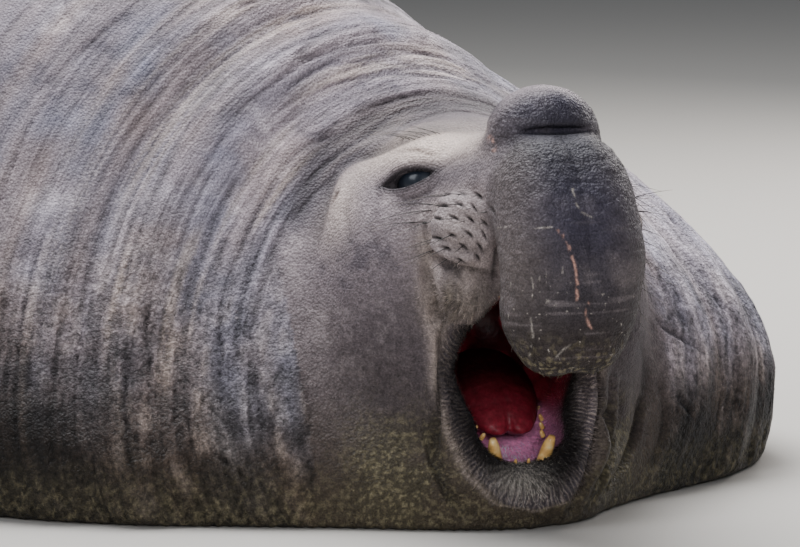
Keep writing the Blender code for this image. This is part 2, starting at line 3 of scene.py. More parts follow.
import bmesh
import bpy
import numpy as np
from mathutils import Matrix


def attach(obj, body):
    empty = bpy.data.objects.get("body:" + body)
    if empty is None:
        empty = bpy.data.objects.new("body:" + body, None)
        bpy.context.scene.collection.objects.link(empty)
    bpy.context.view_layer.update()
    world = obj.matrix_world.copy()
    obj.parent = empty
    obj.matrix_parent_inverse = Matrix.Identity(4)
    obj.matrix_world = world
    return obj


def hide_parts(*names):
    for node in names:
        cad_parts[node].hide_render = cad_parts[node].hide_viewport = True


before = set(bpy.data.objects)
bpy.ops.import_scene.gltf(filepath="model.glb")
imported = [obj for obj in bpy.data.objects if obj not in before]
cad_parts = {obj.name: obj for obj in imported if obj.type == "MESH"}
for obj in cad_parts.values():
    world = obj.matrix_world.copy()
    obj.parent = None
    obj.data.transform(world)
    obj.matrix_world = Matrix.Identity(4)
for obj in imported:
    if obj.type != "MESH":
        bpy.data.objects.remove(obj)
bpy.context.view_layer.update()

import openvdb
from mathutils import Euler, Matrix, Vector

F = np.float32

# The seal is worked out with the chin near the origin, then moved to the frame's own place.
HEAD_AT = (-0.09, 0.0)
HEAD_YAW = 30.0
SHIFT = np.array((0.0, -1.8644, 0.0))
COAT = 0.0015                # how far the skin lies inside the solids

# The photograph's camera: turn of the body from the line of sight, height, distance, metres a pixel
CAM_TURN = 48.0
CAM_RISE = 7.5
CAM_FAR = 9.0
PIXEL = 1.45e-3
CHIN_PX = (530.0, 527.0)
MID_PX = (400.0, 273.5)

SPINE = [  # y, x of the middle, half width, height, height of the widest place, drop, roundness
    (-0.03, -0.07, 0.03, 0.06, 0.03, 0.05, 2.0),
    (0.02, -0.015, 0.19, 0.13, 0.05, 0.12, 2.0),
    (0.09, 0.06, 0.33, 0.22, 0.07, 0.20, 2.0),
    (0.18, 0.13, 0.47, 0.38, 0.11, 0.30, 1.8),
    (0.28, 0.12, 0.565, 0.59, 0.15, 0.34, 1.7),
    (0.43, 0.055, 0.62, 0.71, 0.15, 0.34, 1.85),
    (0.65, 0.005, 0.64, 0.795, 0.16, 0.34, 2.05),
    (1.00, 0.0, 0.635, 0.825, 0.17, 0.34, 2.1),
    (1.45, 0.0, 0.60, 0.785, 0.17, 0.34, 2.1),
    (1.95, 0.0, 0.55, 0.70, 0.17, 0.32, 2.0),
    (2.45, 0.0, 0.455, 0.565, 0.16, 0.28, 2.0),
    (2.90, 0.0, 0.33, 0.42, 0.13, 0.22, 2.0),
    (3.25, 0.0, 0.21, 0.29, 0.10, 0.16, 2.0),
    (3.47, 0.0, 0.12, 0.18, 0.08, 0.11, 2.0),
    (3.60, 0.0, 0.05, 0.11, 0.06, 0.06, 2.0),
]

LIP = [  # x, y, z in the head's own frame and thickness, from the chin round to the upper lip
    (0.0, -0.014, 0.030, 0.014),
    (0.055, -0.006, 0.040, 0.014),
    (0.094, 0.018, 0.084, 0.015),
    (0.116, 0.040, 0.150, 0.016),
    (0.124, 0.060, 0.220, 0.016),
    (0.119, 0.050, 0.285, 0.015),
    (0.092, 0.014, 0.324, 0.016),
    (0.058, -0.014, 0.362, 0.017),
    (0.0, -0.030, 0.390, 0.018),
]

EYE_OUT = np.array((-0.80, -0.55, 0.25)) / np.linalg.norm((-0.80, -0.55, 0.25))
EYE = np.array((-0.110, 0.158, 0.488)) - EYE_OUT * 0.013
EYE_R = 0.046
LID_LONG = 0.043
LID_TALL = 0.0108
EAR = (-0.205, 0.262, 0.455)


# blending and simple bodies

def smin(a, b, k):
    h = np.maximum(k - np.abs(a - b), 0) / k
    return np.minimum(a, b) - h * h * k * 0.25


def smax(a, b, k):
    return -smin(-a, -b, k)


def ellipsoid(p, centre, radii, turn=(0, 0, 0)):
    q = p - np.array(centre, F)
    if any(turn):
        q = q @ np.array(Euler([math.radians(a) for a in turn]).to_matrix(), F)
    r = np.array(radii, F)
    k0 = np.sqrt(((q / r) ** 2).sum(1))
    k1 = np.sqrt(((q / (r * r)) ** 2).sum(1)) + 1e-9
    return k0 * (k0 - 1) / k1


def catmull(points, per=6):
    """Smooth curve through rows of numbers."""
    rows = np.array(points, float)
    rows = np.vstack((2 * rows[0] - rows[1], rows, 2 * rows[-1] - rows[-2]))
    out = []
    for i in range(1, len(rows) - 2):
        a, b, c, d = rows[i - 1:i + 3]
        for t in np.arange(per) / per:
            out.append(0.5 * (2 * b + (c - a) * t + (2 * a - 5 * b + 4 * c - d) * t ** 2
                              + (3 * b - a - 3 * c + d) * t ** 3))
    out.append(rows[-2])
    return np.array(out)


def tube(p, points, per=4):
    """Round cone chain; the points hold x, y, z and radius."""
    c = catmull(points, per).astype(F)
    best = np.full(len(p), 9.0, F)
    for a, b in zip(c[:-1], c[1:]):
        ab = b[:3] - a[:3]
        t = np.clip(((p - a[:3]) @ ab) / max(float(ab @ ab), 1e-12), 0, 1)
        away = p - a[:3] - t[:, None] * ab
        best = np.minimum(best, np.sqrt((away ** 2).sum(1)) - (a[3] + t * (b[3] - a[3])))
    return best


def both(p):
    """Folds the left and right sides on each other."""
    q = p.copy()
    q[:, 0] = np.abs(q[:, 0])
    return q


RINGS = catmull(SPINE, 10)


def section(x, y, z):
    mid, w, top, zc, drop, e = [np.interp(y, RINGS[:, 0], RINGS[:, i]) for i in range(1, 7)]
    dz = z - zc
    hz = np.where(dz > 0, top - zc, drop)
    e = np.where(dz > 0, e, 2.0)
    a = np.abs(x - mid) / w + 1e-6
    b = np.abs(dz) / hz + 1e-6
    k = (a ** e + b ** e) ** (1 / e)
    slope = k ** (1 - e) * np.sqrt((a ** (e - 1) / w) ** 2 + (b ** (e - 1) / hz) ** 2)
    return k, slope


def trunk_of_body(p):
    x, y, z = p[:, 0], p[:, 1], p[:, 2]
    yc = np.clip(y, RINGS[0, 0] + 0.011, RINGS[-1, 0] - 0.011)
    k, slope = section(x, yc, z)
    along = (section(x, yc + 0.01, z)[0] - section(x, yc - 0.01, z)[0]) / 0.02
    d = (k - 1) / np.sqrt(slope ** 2 + along ** 2)
    over = np.abs(y - yc)
    return np.where(over > 0, np.sqrt(np.maximum(d, 0) ** 2 + over ** 2), d).astype(F)


def neck(p):
    """The body with the front of the neck leaning back over the right cheek and full on the left."""
    lean = p @ np.array((-0.653, -0.494, 0.574), F) - 0.165
    d = smax(trunk_of_body(p), lean, 0.16)
    d = smin(d, ellipsoid(p, (0.375, 0.50, 0.12), (0.435, 0.437, 0.41)), 0.12)
    over = p @ np.array((0.455, -0.42, 0.785), F) - 0.458
    return smax(d, over, 0.13)


def proboscis(q, s):
    d = ellipsoid(q, (0, -0.050, 0.578), (0.084, 0.072, 0.072), (-8, 0, 0))
    d = smin(d, ellipsoid(q, (0, 0.04, 0.525), (0.098, 0.15, 0.066), (-14, 0, 0)), 0.03)
    lobe = ellipsoid(s, (0.026, -0.125, 0.500), (0.074, 0.084, 0.086))
    lobe = smin(lobe, ellipsoid(s, (0.026, -0.175, 0.42), (0.080, 0.086, 0.120), (-8, 0, 0)), 0.04)
    lobe = smin(lobe, ellipsoid(q, (-0.010, -0.182, 0.330), (0.093, 0.076, 0.077)), 0.04)
    for x in (-0.036, 0.024):
        lobe = smin(lobe, ellipsoid(q, (x, -0.182, 0.297), (0.042, 0.060, 0.046)), 0.02)
    d = smin(d, lobe, 0.022)
    return smax(d, -ellipsoid(q, (-0.004, -0.124, 0.592), (0.076, 0.024, 0.0045), (-8, 0, 0)), 0.006)


def face(s):
    d = ellipsoid(s, (0, 0.27, 0.40), (0.200, 0.23, 0.172))
    d = smin(d, ellipsoid(s, (0.105, 0.24, 0.29), (0.150, 0.19, 0.20)), 0.08)
    d = smin(d, ellipsoid(s, (0.080, 0.195, 0.500), (0.062, 0.10, 0.066)), 0.05)
    d = smin(d, ellipsoid(s, (0, 0.05, 0.43), (0.120, 0.155, 0.115), (-15, 0, 0)), 0.05)
    d = smin(d, ellipsoid(s, (0.048, -0.030, 0.492), (0.066, 0.10, 0.068), (-10, 0, 0)), 0.05)
    d = smin(d, ellipsoid(s, (0.096, -0.026, 0.432), (0.056, 0.062, 0.064)), 0.018)
    d = smin(d, ellipsoid(s, (0.090, 0.018, 0.350), (0.054, 0.064, 0.048)), 0.020)
    jaw = tube(s, [(0.0, 0.07, 0.080, 0.075), (0.06, 0.08, 0.085, 0.07),
                   (0.10, 0.13, 0.14, 0.07), (0.12, 0.22, 0.22, 0.09)])
    jaw = smin(jaw, ellipsoid(s, (0, 0.065, 0.055), (0.115, 0.085, 0.075)), 0.04)
    return smin(d, jaw, 0.05)


def mouth(q):
    c = ellipsoid(q, (0, 0.10, 0.240), (0.090, 0.155, 0.088), (14, 0, 0))
    c = smin(c, ellipsoid(q, (0, 0.088, 0.160), (0.064, 0.104, 0.068), (12, 0, 0)), 0.03)
    c = smin(c, ellipsoid(q, (0, 0.070, 0.126), (0.070, 0.076, 0.038), (4, 0, 0)), 0.015)
    c = smin(c, ellipsoid(q, (0, -0.01, 0.328), (0.062, 0.070, 0.062)), 0.03)
    return smin(c, ellipsoid(q, (0, -0.03, 0.21), (0.112, 0.075, 0.135)), 0.03)


def hand(p, base, across, along, up, lengths, spread, r0, r1, thick):
    """Webbed fingers in a fan, flattened."""
    m = np.array((across, along, up), float)
    m /= np.linalg.norm(m, axis=1)[:, None]
    q = (p - np.array(base, F)) @ m.T.astype(F)
    q[:, 2] /= thick
    d = None
    n = len(lengths)
    for i, length in enumerate(lengths):
        a = math.radians(spread[0] + (spread[1] - spread[0]) * i / (n - 1))
        x0 = (i - (n - 1) / 2) * r0 * 1.15
        mid = (x0 + math.sin(a) * length * 0.5, math.cos(a) * length * 0.5, 0.0)
        tip = (x0 + math.sin(a) * length, math.cos(a) * length, 0.0)
        finger = tube(q, [(x0, 0, 0, r0), (*mid, (r0 + r1) * 0.52), (*tip, r1)], 3)
        d = finger if d is None else smin(d, finger, r0)
        if i:       # the web between this finger and the last
            reach = 0.86 * min(length, lengths[i - 1])
            b = a - math.radians(spread[1] - spread[0]) / (n - 1) / 2
            xb = x0 - r0 * 0.57
            for t in (0.35, 0.65):
                c = b + (a - b) * (t - 0.5)
                xt = xb + (t - 0.5) * r0 * 1.1
                end = (xt + math.sin(c) * reach, math.cos(c) * reach, 0.0)
                d = smin(d, tube(q, [(xt, 0, 0, r0 * 0.7), (*end, r1 * 0.75)], 2), r0 * 0.6)
    return d * 0.8


FORE = ((0.738, 1.165, 0.050), (1, -0.42, 0), (0.42, 1, -0.12), (0.0, 0.12, 1),
        (0.31, 0.345, 0.335, 0.300, 0.255), (-11, 11), 0.036, 0.018, 0.55)
HIND = ((0.125, 3.57, 0.062), (1, -0.12, -0.2), (0.12, 1, -0.06), (0.2, 0.06, 1),
        (0.38, 0.32, 0.28, 0.34, 0.46), (-5, 19), 0.034, 0.019, 0.50)


def fore_flipper(p):
    s = both(p)
    arm = tube(s, [(0.48, 0.96, 0.17, 0.10), (0.61, 1.05, 0.115, 0.085), (0.728, 1.15, 0.058, 0.055)], 4)
    return smin(arm, hand(s, *FORE), 0.05)


def rear_flipper(p):
    s = both(p)
    shank = tube(s, [(0.05, 3.28, 0.10, 0.09), (0.085, 3.45, 0.085, 0.065), (0.12, 3.59, 0.065, 0.042)], 4)
    tail = ellipsoid(p, (0, 3.60, 0.085), (0.042, 0.11, 0.032), (-10, 0, 0))
    return smin(shank, hand(s, *HIND), 0.05), tail


def head_frame(p):
    a = math.radians(HEAD_YAW)
    dx = p[:, 0] - F(HEAD_AT[0])
    dy = p[:, 1] - F(HEAD_AT[1])
    return np.stack((dx * math.cos(a) - dy * math.sin(a), dx * math.sin(a) + dy * math.cos(a),
                     p[:, 2]), 1).astype(F)


# noise

def lattice(ix, iy, iz, seed):
    h = (ix * 73856093) ^ (iy * 19349663) ^ (iz * 83492791) ^ (seed * 2654435761)
    h = (h ^ (h >> 13)) * 1274126177
    h = h ^ (h >> 16)
    return (h & 0xFFFF).astype(F) / F(65535.0)


def noise(p, scale, seed=0):
    """Smooth noise from -1 to 1; scale is a number or one for each axis."""
    q = p / np.array(scale, F)
    i = np.floor(q).astype(np.int64)
    f = (q - i).astype(F)
    u = f * f * (3 - 2 * f)
    out = np.zeros(len(p), F)
    for dx in (0, 1):
        wx = u[:, 0] if dx else 1 - u[:, 0]
        for dy in (0, 1):
            wy = u[:, 1] if dy else 1 - u[:, 1]
            for dz in (0, 1):
                wz = u[:, 2] if dz else 1 - u[:, 2]
                out += wx * wy * wz * lattice(i[:, 0] + dx, i[:, 1] + dy, i[:, 2] + dz, seed)
    return out * 2 - 1


def fbm(p, scale, octaves=3, seed=0):
    out = np.zeros(len(p), F)
    gain, total = 1.0, 0.0
    for k in range(octaves):
        out += gain * noise(p, np.array(scale, F) * 0.5 ** k, seed + 17 * k)
        total += gain
        gain *= 0.5
    return out / total


def step(lo, hi, x):
    t = np.clip((x - lo) / (hi - lo), 0, 1)
    return t * t * (3 - 2 * t)


def bump(x, width):
    return np.exp(-(x / width) ** 2)


# the head's eye, ears and nostrils on the shared form

def eye_axes():
    along = np.array((0.056, -0.09, 0.0365))
    along = along - EYE_OUT * (along @ EYE_OUT)
    along /= np.linalg.norm(along)
    up = np.cross(along, EYE_OUT)
    if up[2] < 0:
        up = -up
    return np.array((along, EYE_OUT, up))


EYE_AXES = eye_axes()


def to_eye(s):
    """Folded head points in the right eye's own frame."""
    r = s * np.array((-1, 1, 1), F)
    return (r - np.array(EYE, F)) @ EYE_AXES.T.astype(F)


def almond(e, grow=0.0):
    """Distance to the outline between the lids, seen along the eye's axis."""
    long, tall = LID_LONG + grow, LID_TALL + grow
    rc = (long * long + tall * tall) / (2 * tall)
    up = np.sqrt(e[:, 0] ** 2 + (e[:, 2] + rc - tall) ** 2) - rc
    low = np.sqrt(e[:, 0] ** 2 + (e[:, 2] - rc + tall) ** 2) - rc
    return np.maximum(up, low)


def face_details(d, q, s):
    e = to_eye(s)
    away = np.sqrt((e ** 2).sum(1))
    d = smin(d, away - (EYE_R + 0.0065), 0.03)
    shape = almond(e)
    # fold over the upper lid, pouch under the lower
    fold = np.sqrt((shape - 0.013) ** 2 + (away - EYE_R - 0.008) ** 2) - 0.0055
    d = smin(d, np.where(e[:, 2] > -0.004, fold, 9.0).astype(F), 0.012)
    d = smax(d, -np.maximum(shape, -e[:, 1]), 0.004)
    rim = np.sqrt(np.maximum(shape - 0.0008, -9) ** 2 + (away - EYE_R - 0.0045) ** 2) - 0.0032
    d = smin(d, np.where(e[:, 1] > 0, rim, 9.0).astype(F), 0.004)
    # ear
    r = s * np.array((-1, 1, 1), F)
    d = smax(d, -ellipsoid(r, EAR, (0.030, 0.006, 0.009)), 0.006)
    # nostrils under the tip of the trunk
    return smax(d, -ellipsoid(s, (0.030, -0.172, 0.246), (0.013, 0.019, 0.026)), 0.010)


def skin(p):
    """Distance to the animal's skin; each part is asked only where it can matter."""
    d = neck(p)
    front = np.nonzero(p[:, 1] < 0.75)[0]
    if len(front):
        pf = p[front]
        q = head_frame(pf)
        s = both(q)
        h = smin(d[front], face(s), 0.05)
        h = smax(h, -mouth(q), 0.02)
        h = smin(h, tube(s, LIP), 0.02)
        h = face_details(h, q, s)
        d[front] = smin(h, proboscis(q, s), 0.03)
    mid = np.nonzero((p[:, 1] > 0.80) & (p[:, 1] < 1.75) & (np.abs(p[:, 0]) > 0.35) & (p[:, 2] < 0.45))[0]
    if len(mid):
        d[mid] = smin(d[mid], fore_flipper(p[mid]), 0.05)
    rear = np.nonzero(p[:, 1] > 3.05)[0]
    if len(rear):
        hind, tail = rear_flipper(p[rear])
        d[rear] = smin(smin(d[rear], hind, 0.05), tail, 0.04)
    return smax(d + F(COAT), -p[:, 2], 0.006)


# meshing: one closed skin, made finer towards the face

def sampled(fn, lo, hi, voxel, coarse=4):
    lo = np.array(lo, float)
    n = np.ceil((np.array(hi) - lo) / voxel / coarse).astype(int) * coarse
    big = voxel * coarse
    axes = [lo[i] + big * (np.arange(n[i] // coarse) + 0.5) for i in range(3)]
    centre = np.stack(np.meshgrid(*axes, indexing="ij"), -1).reshape(-1, 3).astype(F)
    d = in_parts(fn, centre)

    def spread(values):
        out = values.reshape([k // coarse for k in n])
        for axis in range(3):
            out = np.repeat(out, coarse, axis)
        return out
    grid = spread(np.sign(d)).astype(F) * F(big)
    mask = spread(np.abs(d) < big * 2.0)
    index = np.argwhere(mask)
    grid[mask] = in_parts(fn, (lo + (index + 0.5) * voxel).astype(F))
    return grid, lo + 0.5 * voxel


def in_parts(fn, p, size=300000):
    return np.concatenate([fn(part) for part in np.array_split(p, max(1, len(p) // size + 1))])


def surface(fn, lo, hi, voxel):
    values, corner = sampled(fn, lo, hi, voxel)
    grid = openvdb.FloatGrid(9.0)
    grid.copyFromArray(values)
    v, tris, quads = grid.convertToPolygons(0.0, 0.0)
    quads = quads.astype(np.int64)
    v = (v * voxel + corner).astype(F)
    t = np.concatenate((quads[:, [0, 1, 2]], quads[:, [0, 2, 3]], tris.astype(np.int64)))
    return v, t


def slope(fn, p, h=0.0008):
    """Outward direction by differences round each point."""
    k = np.array(((1, -1, -1), (-1, -1, 1), (-1, 1, -1), (1, 1, 1)), F)
    g = np.zeros_like(p)
    for row in k:
        g += row * in_parts(fn, p + row * F(h))[:, None]
    return g / F(4 * h)


def settle_on(fn, p, rounds=2):
    for _ in range(rounds):
        g = slope(fn, p)
        d = in_parts(fn, p)
        size = np.maximum((g ** 2).sum(1), 0.15)
        move = -(d / size)[:, None] * g
        far = np.linalg.norm(move, axis=1, keepdims=True)
        p = p + move * np.minimum(1, 0.006 / (far + 1e-9))
    return p


def finer(v, t, want):
    """Splits the edges whose two ends are wanted finer; returns the points, with the new ones at the end, and the
    triangles.
    """
    e = np.concatenate((t[:, [0, 1]], t[:, [1, 2]], t[:, [2, 0]]))
    e.sort(1)
    key = e[:, 0] * len(v) + e[:, 1]
    uniq, back = np.unique(key, return_inverse=True)
    a, b = uniq // len(v), uniq % len(v)
    split = want[a] & want[b]
    index = np.full(len(uniq), -1, np.int64)
    index[split] = len(v) + np.arange(split.sum())
    mid = (v[a[split]] + v[b[split]]) / 2
    n = len(t)
    m = np.stack((index[back[:n]], index[back[n:2 * n]], index[back[2 * n:]]), 1)
    count = (m >= 0).sum(1)
    out = [t[count == 0]]
    k = count == 3
    T, M = t[k], m[k]
    out += [np.stack((T[:, 0], M[:, 0], M[:, 2]), 1), np.stack((M[:, 0], T[:, 1], M[:, 1]), 1),
            np.stack((M[:, 2], M[:, 1], T[:, 2]), 1), M]
    for r in range(3):
        roll = [(r + j) % 3 for j in range(3)]
        T, M = t[:, roll], m[:, roll]
        k = (count == 1) & (M[:, 0] >= 0)
        out += [np.stack((T[k, 0], M[k, 0], T[k, 2]), 1), np.stack((M[k, 0], T[k, 1], T[k, 2]), 1)]
        k = (count == 2) & (M[:, 2] < 0)
        out += [np.stack((T[k, 0], M[k, 0], M[k, 1]), 1), np.stack((M[k, 0], T[k, 1], M[k, 1]), 1),
                np.stack((T[k, 0], M[k, 1], T[k, 2]), 1)]
    return np.concatenate((v, mid)), np.concatenate(out)


def make_mesh(name, v, t, smooth=True):
    mesh = bpy.data.meshes.new(name)
    mesh.vertices.add(len(v))
    mesh.vertices.foreach_set("co", np.ascontiguousarray(v, F).ravel())
    mesh.loops.add(t.size)
    mesh.loops.foreach_set("vertex_index", t.astype(np.int32).ravel())
    mesh.polygons.add(len(t))
    mesh.polygons.foreach_set("loop_start", np.arange(0, t.size, 3, dtype=np.int32))
    mesh.update(calc_edges=True)
    mesh.validate()
    if smooth:
        mesh.polygons.foreach_set("use_smooth", np.ones(len(mesh.polygons), bool))
    ob = bpy.data.objects.new(name, mesh)
    bpy.context.scene.collection.objects.link(ob)
    return ob


def give(ob, name, values, kind="FLOAT"):
    """A value for each vertex, read by the materials."""
    layer = ob.data.attributes.new(name, kind, "POINT")
    key = {"FLOAT": "value", "FLOAT_VECTOR": "vector", "FLOAT_COLOR": "color"}[kind]
    values = np.asarray(values, F)
    if kind == "FLOAT_COLOR":
        values = np.concatenate((values, np.ones((len(values), 1), F)), 1)
    layer.data.foreach_set(key, values.ravel())


# the camera

def camera_axes():
    a, e = math.radians(-CAM_TURN), math.radians(CAM_RISE)
    back = np.array((math.sin(a) * math.cos(e), -math.cos(a) * math.cos(e), math.sin(e)))
    right = np.array((math.cos(a), math.sin(a), 0.0))
    return right, np.cross(back, right), back


RIGHT, UP, BACK = camera_axes()
AIM = (np.array((*HEAD_AT, 0.0)) + RIGHT * ((MID_PX[0] - CHIN_PX[0]) * PIXEL)
       + UP * ((CHIN_PX[1] - MID_PX[1]) * PIXEL))


def pixels(p):
    """Where points fall in the picture, and how far they lie behind the chin."""
    q = p - AIM.astype(F)
    far = -(q @ BACK.astype(F))
    k = CAM_FAR / (CAM_FAR + far) / PIXEL
    return MID_PX[0] + (q @ RIGHT.astype(F)) * k, MID_PX[1] - (q @ UP.astype(F)) * k, far


def near_line(all_u, all_v, points, per=5, reach=45):
    """Distance in pixels to a smooth line, and how far along it from 0 to 1."""
    c = catmull([(*p, 0.0) for p in points], per)[:, :2].astype(F)
    lo, hi = c.min(0) - reach, c.max(0) + reach
    close = np.nonzero((all_u > lo[0]) & (all_u < hi[0]) & (all_v > lo[1]) & (all_v < hi[1]))[0]
    u, v = all_u[close], all_v[close]
    best = np.full(len(u), 999.0, F)
    along = np.zeros(len(u), F)
    for i, (a, b) in enumerate(zip(c[:-1], c[1:])):
        ab = b - a
        t = np.clip(((u - a[0]) * ab[0] + (v - a[1]) * ab[1]) / max(float(ab @ ab), 1e-9), 0, 1)
        d = np.hypot(u - a[0] - t * ab[0], v - a[1] - t * ab[1])
        closer = d < best
        best[closer] = d[closer]
        along[closer] = ((i + t) / (len(c) - 1))[closer]
    all_best = np.full(len(all_u), 999.0, F)
    all_along = np.zeros(len(all_u), F)
    all_best[close] = best
    all_along[close] = along
    return all_best, all_along


# folds, furrows and wrinkles

def lin(code):
    """Linear colour from a six figure code."""
    c = np.array([int(code[i:i + 2], 16) / 255 for i in (0, 2, 4)])
    return np.where(c <= 0.04045, c / 12.92, ((c + 0.055) / 1.055) ** 2.4).astype(F)


def from_head(q):
    a = math.radians(HEAD_YAW)
    return np.stack((HEAD_AT[0] + q[:, 0] * math.cos(a) + q[:, 1] * math.sin(a),
                     HEAD_AT[1] - q[:, 0] * math.sin(a) + q[:, 1] * math.cos(a), q[:, 2]), 1).astype(F)


def places(p):
    """Everything the folds and the colours ask about a set of points."""
    w = {}
    q = head_frame(p)
    s = both(q)
    right = s * np.array((-1, 1, 1), F)
    w["p"], w["q"], w["s"] = p, q, s
    w["u"], w["v"], w["far"] = pixels(p)
    w["fu"], w["fv"], _ = pixels(from_head(right))
    r = np.hypot(q[:, 0], q[:, 2] - 0.28)
    w["t"] = r + 0.6 * q[:, 1]
    turn = np.arctan2(q[:, 0], q[:, 2] - 0.28)
    w["ring"] = np.stack((w["t"], turn * 0.45, np.zeros_like(r)), 1)
    front = (p[:, 1] < 0.8)
    w["trunk"] = np.where(front, step(0.012, -0.004, proboscis(q, s)), 0).astype(F)
    w["trunk"] *= step(0.0, -0.05, q[:, 1] + (q[:, 2] - 0.55) * 0.6)
    e = to_eye(s)
    w["eye"] = np.where(e[:, 1] > -0.02, np.maximum(almond(e), -0.02), 9.0)
    w["eye"] = np.where(np.linalg.norm(e, axis=1) < 0.12, w["eye"], 9.0)
    w["eye_z"] = e[:, 2]
    w["eye_x"] = e[:, 0]
    w["in"] = np.where(front, step(0.004, -0.010, mouth_inside(q)), 0).astype(F)
    # how far inside the ridge of the lips, seen from the front
    rows = np.array(LIP)[:6]
    w["lips"] = np.where(front, np.interp(q[:, 2], rows[:, 2], rows[:, 0], left=0.0) - s[:, 0], -1).astype(F)
    w["lips"] = np.where((q[:, 2] > rows[0, 2] - 0.004) & (q[:, 2] < 0.30), w["lips"], -1)
    w["lips"] = np.minimum(w["lips"], q[:, 2] - rows[0, 2] + 0.35 * s[:, 0] + 0.004)
    w["lips"] = np.where(q[:, 1] < 0.115, w["lips"], -1)
    w["face"] = step(0.50, 0.42, w["t"]) * step(0.34, 0.27, q[:, 1]) * (np.abs(q[:, 0]) < 0.3)
    return w


def mouth_inside(q):
    """Below zero on the wet lining of the mouth."""
    c = ellipsoid(q, (0, 0.118, 0.240), (0.094, 0.160, 0.092), (14, 0, 0))
    c = smin(c, ellipsoid(q, (0, 0.100, 0.160), (0.068, 0.100, 0.074), (12, 0, 0)), 0.03)
    c = smin(c, ellipsoid(q, (0, 0.070, 0.126), (0.072, 0.078, 0.042), (4, 0, 0)), 0.015)
    c = smin(c, ellipsoid(q, (0, 0.02, 0.315), (0.064, 0.060, 0.066)), 0.02)
    return smax(c, -(q[:, 1] - 0.036 - 0.14 * np.abs(q[:, 2] - 0.2)), 0.01)


# lines in the picture: points, half width in pixels, depth in metres, nearest and farthest depth
NECK_LINES = [
    ([(604, 366), (603, 400), (597, 440), (588, 480), (572, 510)], 4.5, 0.020),
    ([(622, 386), (618, 420), (608, 460), (588, 508)], 3.5, 0.013),
    ([(640, 400), (632, 440), (612, 480), (596, 508)], 3.0, 0.008),
    ([(655, 318), (672, 331), (684, 340), (702, 352)], 2.2, 0.005),
    ([(668, 312), (676, 330), (688, 338)], 2.0, 0.003),
    ([(678, 398), (686, 408), (697, 421)], 2.2, 0.005),
    ([(640, 340), (646, 372), (640, 410), (630, 440)], 3.5, 0.004),
    ([(660, 380), (664, 410), (660, 440), (648, 470)], 3.0, 0.003),
    ([(216, 318), (222, 350), (219, 380), (224, 428)], 2.4, 0.006),
    ([(221, 380), (204, 398), (198, 420)], 1.8, 0.003),
    ([(122, 330), (128, 370), (124, 410), (136, 440)], 2.2, 0.004),
    ([(205, 432), (214, 452), (236, 470), (262, 500)], 2.2, 0.004),
    ([(190, 380), (186, 410), (192, 440), (188, 470)], 2.2, 0.004),
    ([(236, 330), (240, 366), (238, 400)], 2.0, 0.003),
    ([(278, 400), (272, 440), (280, 480)], 2.4, 0.004),
    ([(204, 400), (216, 412), (232, 430)], 1.8, 0.003),
    ([(150, 300), (146, 340), (152, 380)], 2.0, 0.003),
    ([(170, 372), (176, 400), (172, 430)], 2.0, 0.003),
    ([(262, 352), (258, 392), (266, 440)], 2.4, 0.003),
    ([(300, 368), (310, 410), (304, 452)], 3.0, 0.002),
    ([(236, 12), (250, 5), (268, 3)], 2.0, 0.004),
]
FACE_LINES = [
    ([(484, 130), (450, 126), (420, 130), (376, 149), (338, 166), (322, 214), (310, 262)], 6.0, 0.010),
    ([(414, 226), (424, 270), (436, 318), (442, 372), (433, 440), (446, 488), (470, 514)], 5.5, 0.012),
    ([(423, 410), (428, 452), (444, 492), (462, 516)], 3.0, 0.005),
    ([(436, 258), (450, 268), (470, 274), (494, 276)], 4.2, 0.016),
    ([(446, 256), (450, 270), (462, 282)], 2.4, 0.005),
    ([(496, 210), (497, 250), (494, 285)], 3.0, 0.006),
    ([(441, 285), (446, 305), (444, 330)], 2.2, 0.004),
    ([(457, 286), (461, 300), (455, 316)], 2.0, 0.003),
    ([(474, 284), (475, 296), (470, 306)], 2.0, 0.003),
    ([(428, 205), (425, 235), (432, 262)], 3.0, 0.004),
    ([(388, 190), (404, 199), (424, 194), (438, 184)], 3.0, 0.002),
    ([(440, 170), (455, 160), (470, 155)], 3.0, 0.002),
    ([(352, 190), (346, 215), (352, 250)], 4.0, 0.002),
    ([(378, 205), (372, 232), (382, 258)], 4.0, 0.0015),
    ([(392, 154), (412, 150), (436, 156)], 2.6, 0.003),
]
FACE_RIDGES = [
    ([(424, 396), (430, 448), (446, 490), (472, 519)], 6.0, 0.007),
    ([(424, 205), (423, 240), (419, 280), (425, 318), (438, 352)], 5.0, 0.004),
    ([(372, 158), (344, 182), (334, 218), (320, 280)], 9.0, 0.005),
]
PAD = (462.0, 227.0, 38.0, 39.0)       # whisker pad's middle and half sizes in the picture


def pad_spots():
    """Roots of the whiskers in rows on the pad: place in the picture and row."""
    spots = []
    for r in range(6):
        for c in range(5):
            u = 494 - 15.2 * c - 3.6 * r + 2.0 * (r % 2)
            v = 199 + 11.6 * r - 4.5 * math.sin(math.pi * c / 4) * (1 - r / 8) + 2.0 * c * (r > 2)
            if math.hypot((u - PAD[0]) / PAD[2], (v - PAD[1]) / PAD[3]) < 0.97:
                spots.append((u, v, r, c))
    return spots


def pad_roots(w, pad):
    """Short dark slits where the whiskers leave the pad."""
    out = np.zeros(len(pad), F)
    k = np.nonzero(pad > 0)[0]
    u, v = w["fu"][k], w["fv"][k]
    best = np.zeros(len(k), F)
    for u0, v0, r, c in pad_spots():
        a = math.radians(58 - 16 * c)
        du, dv = u - u0, v - v0
        x = du * math.cos(a) + dv * math.sin(a)
        y = -du * math.sin(a) + dv * math.cos(a)
        best = np.maximum(best, bump(np.hypot(x / 4.6, (y - 0.06 * x * x * 0.3) / 1.25), 1.0))
    out[k] = best
    return out


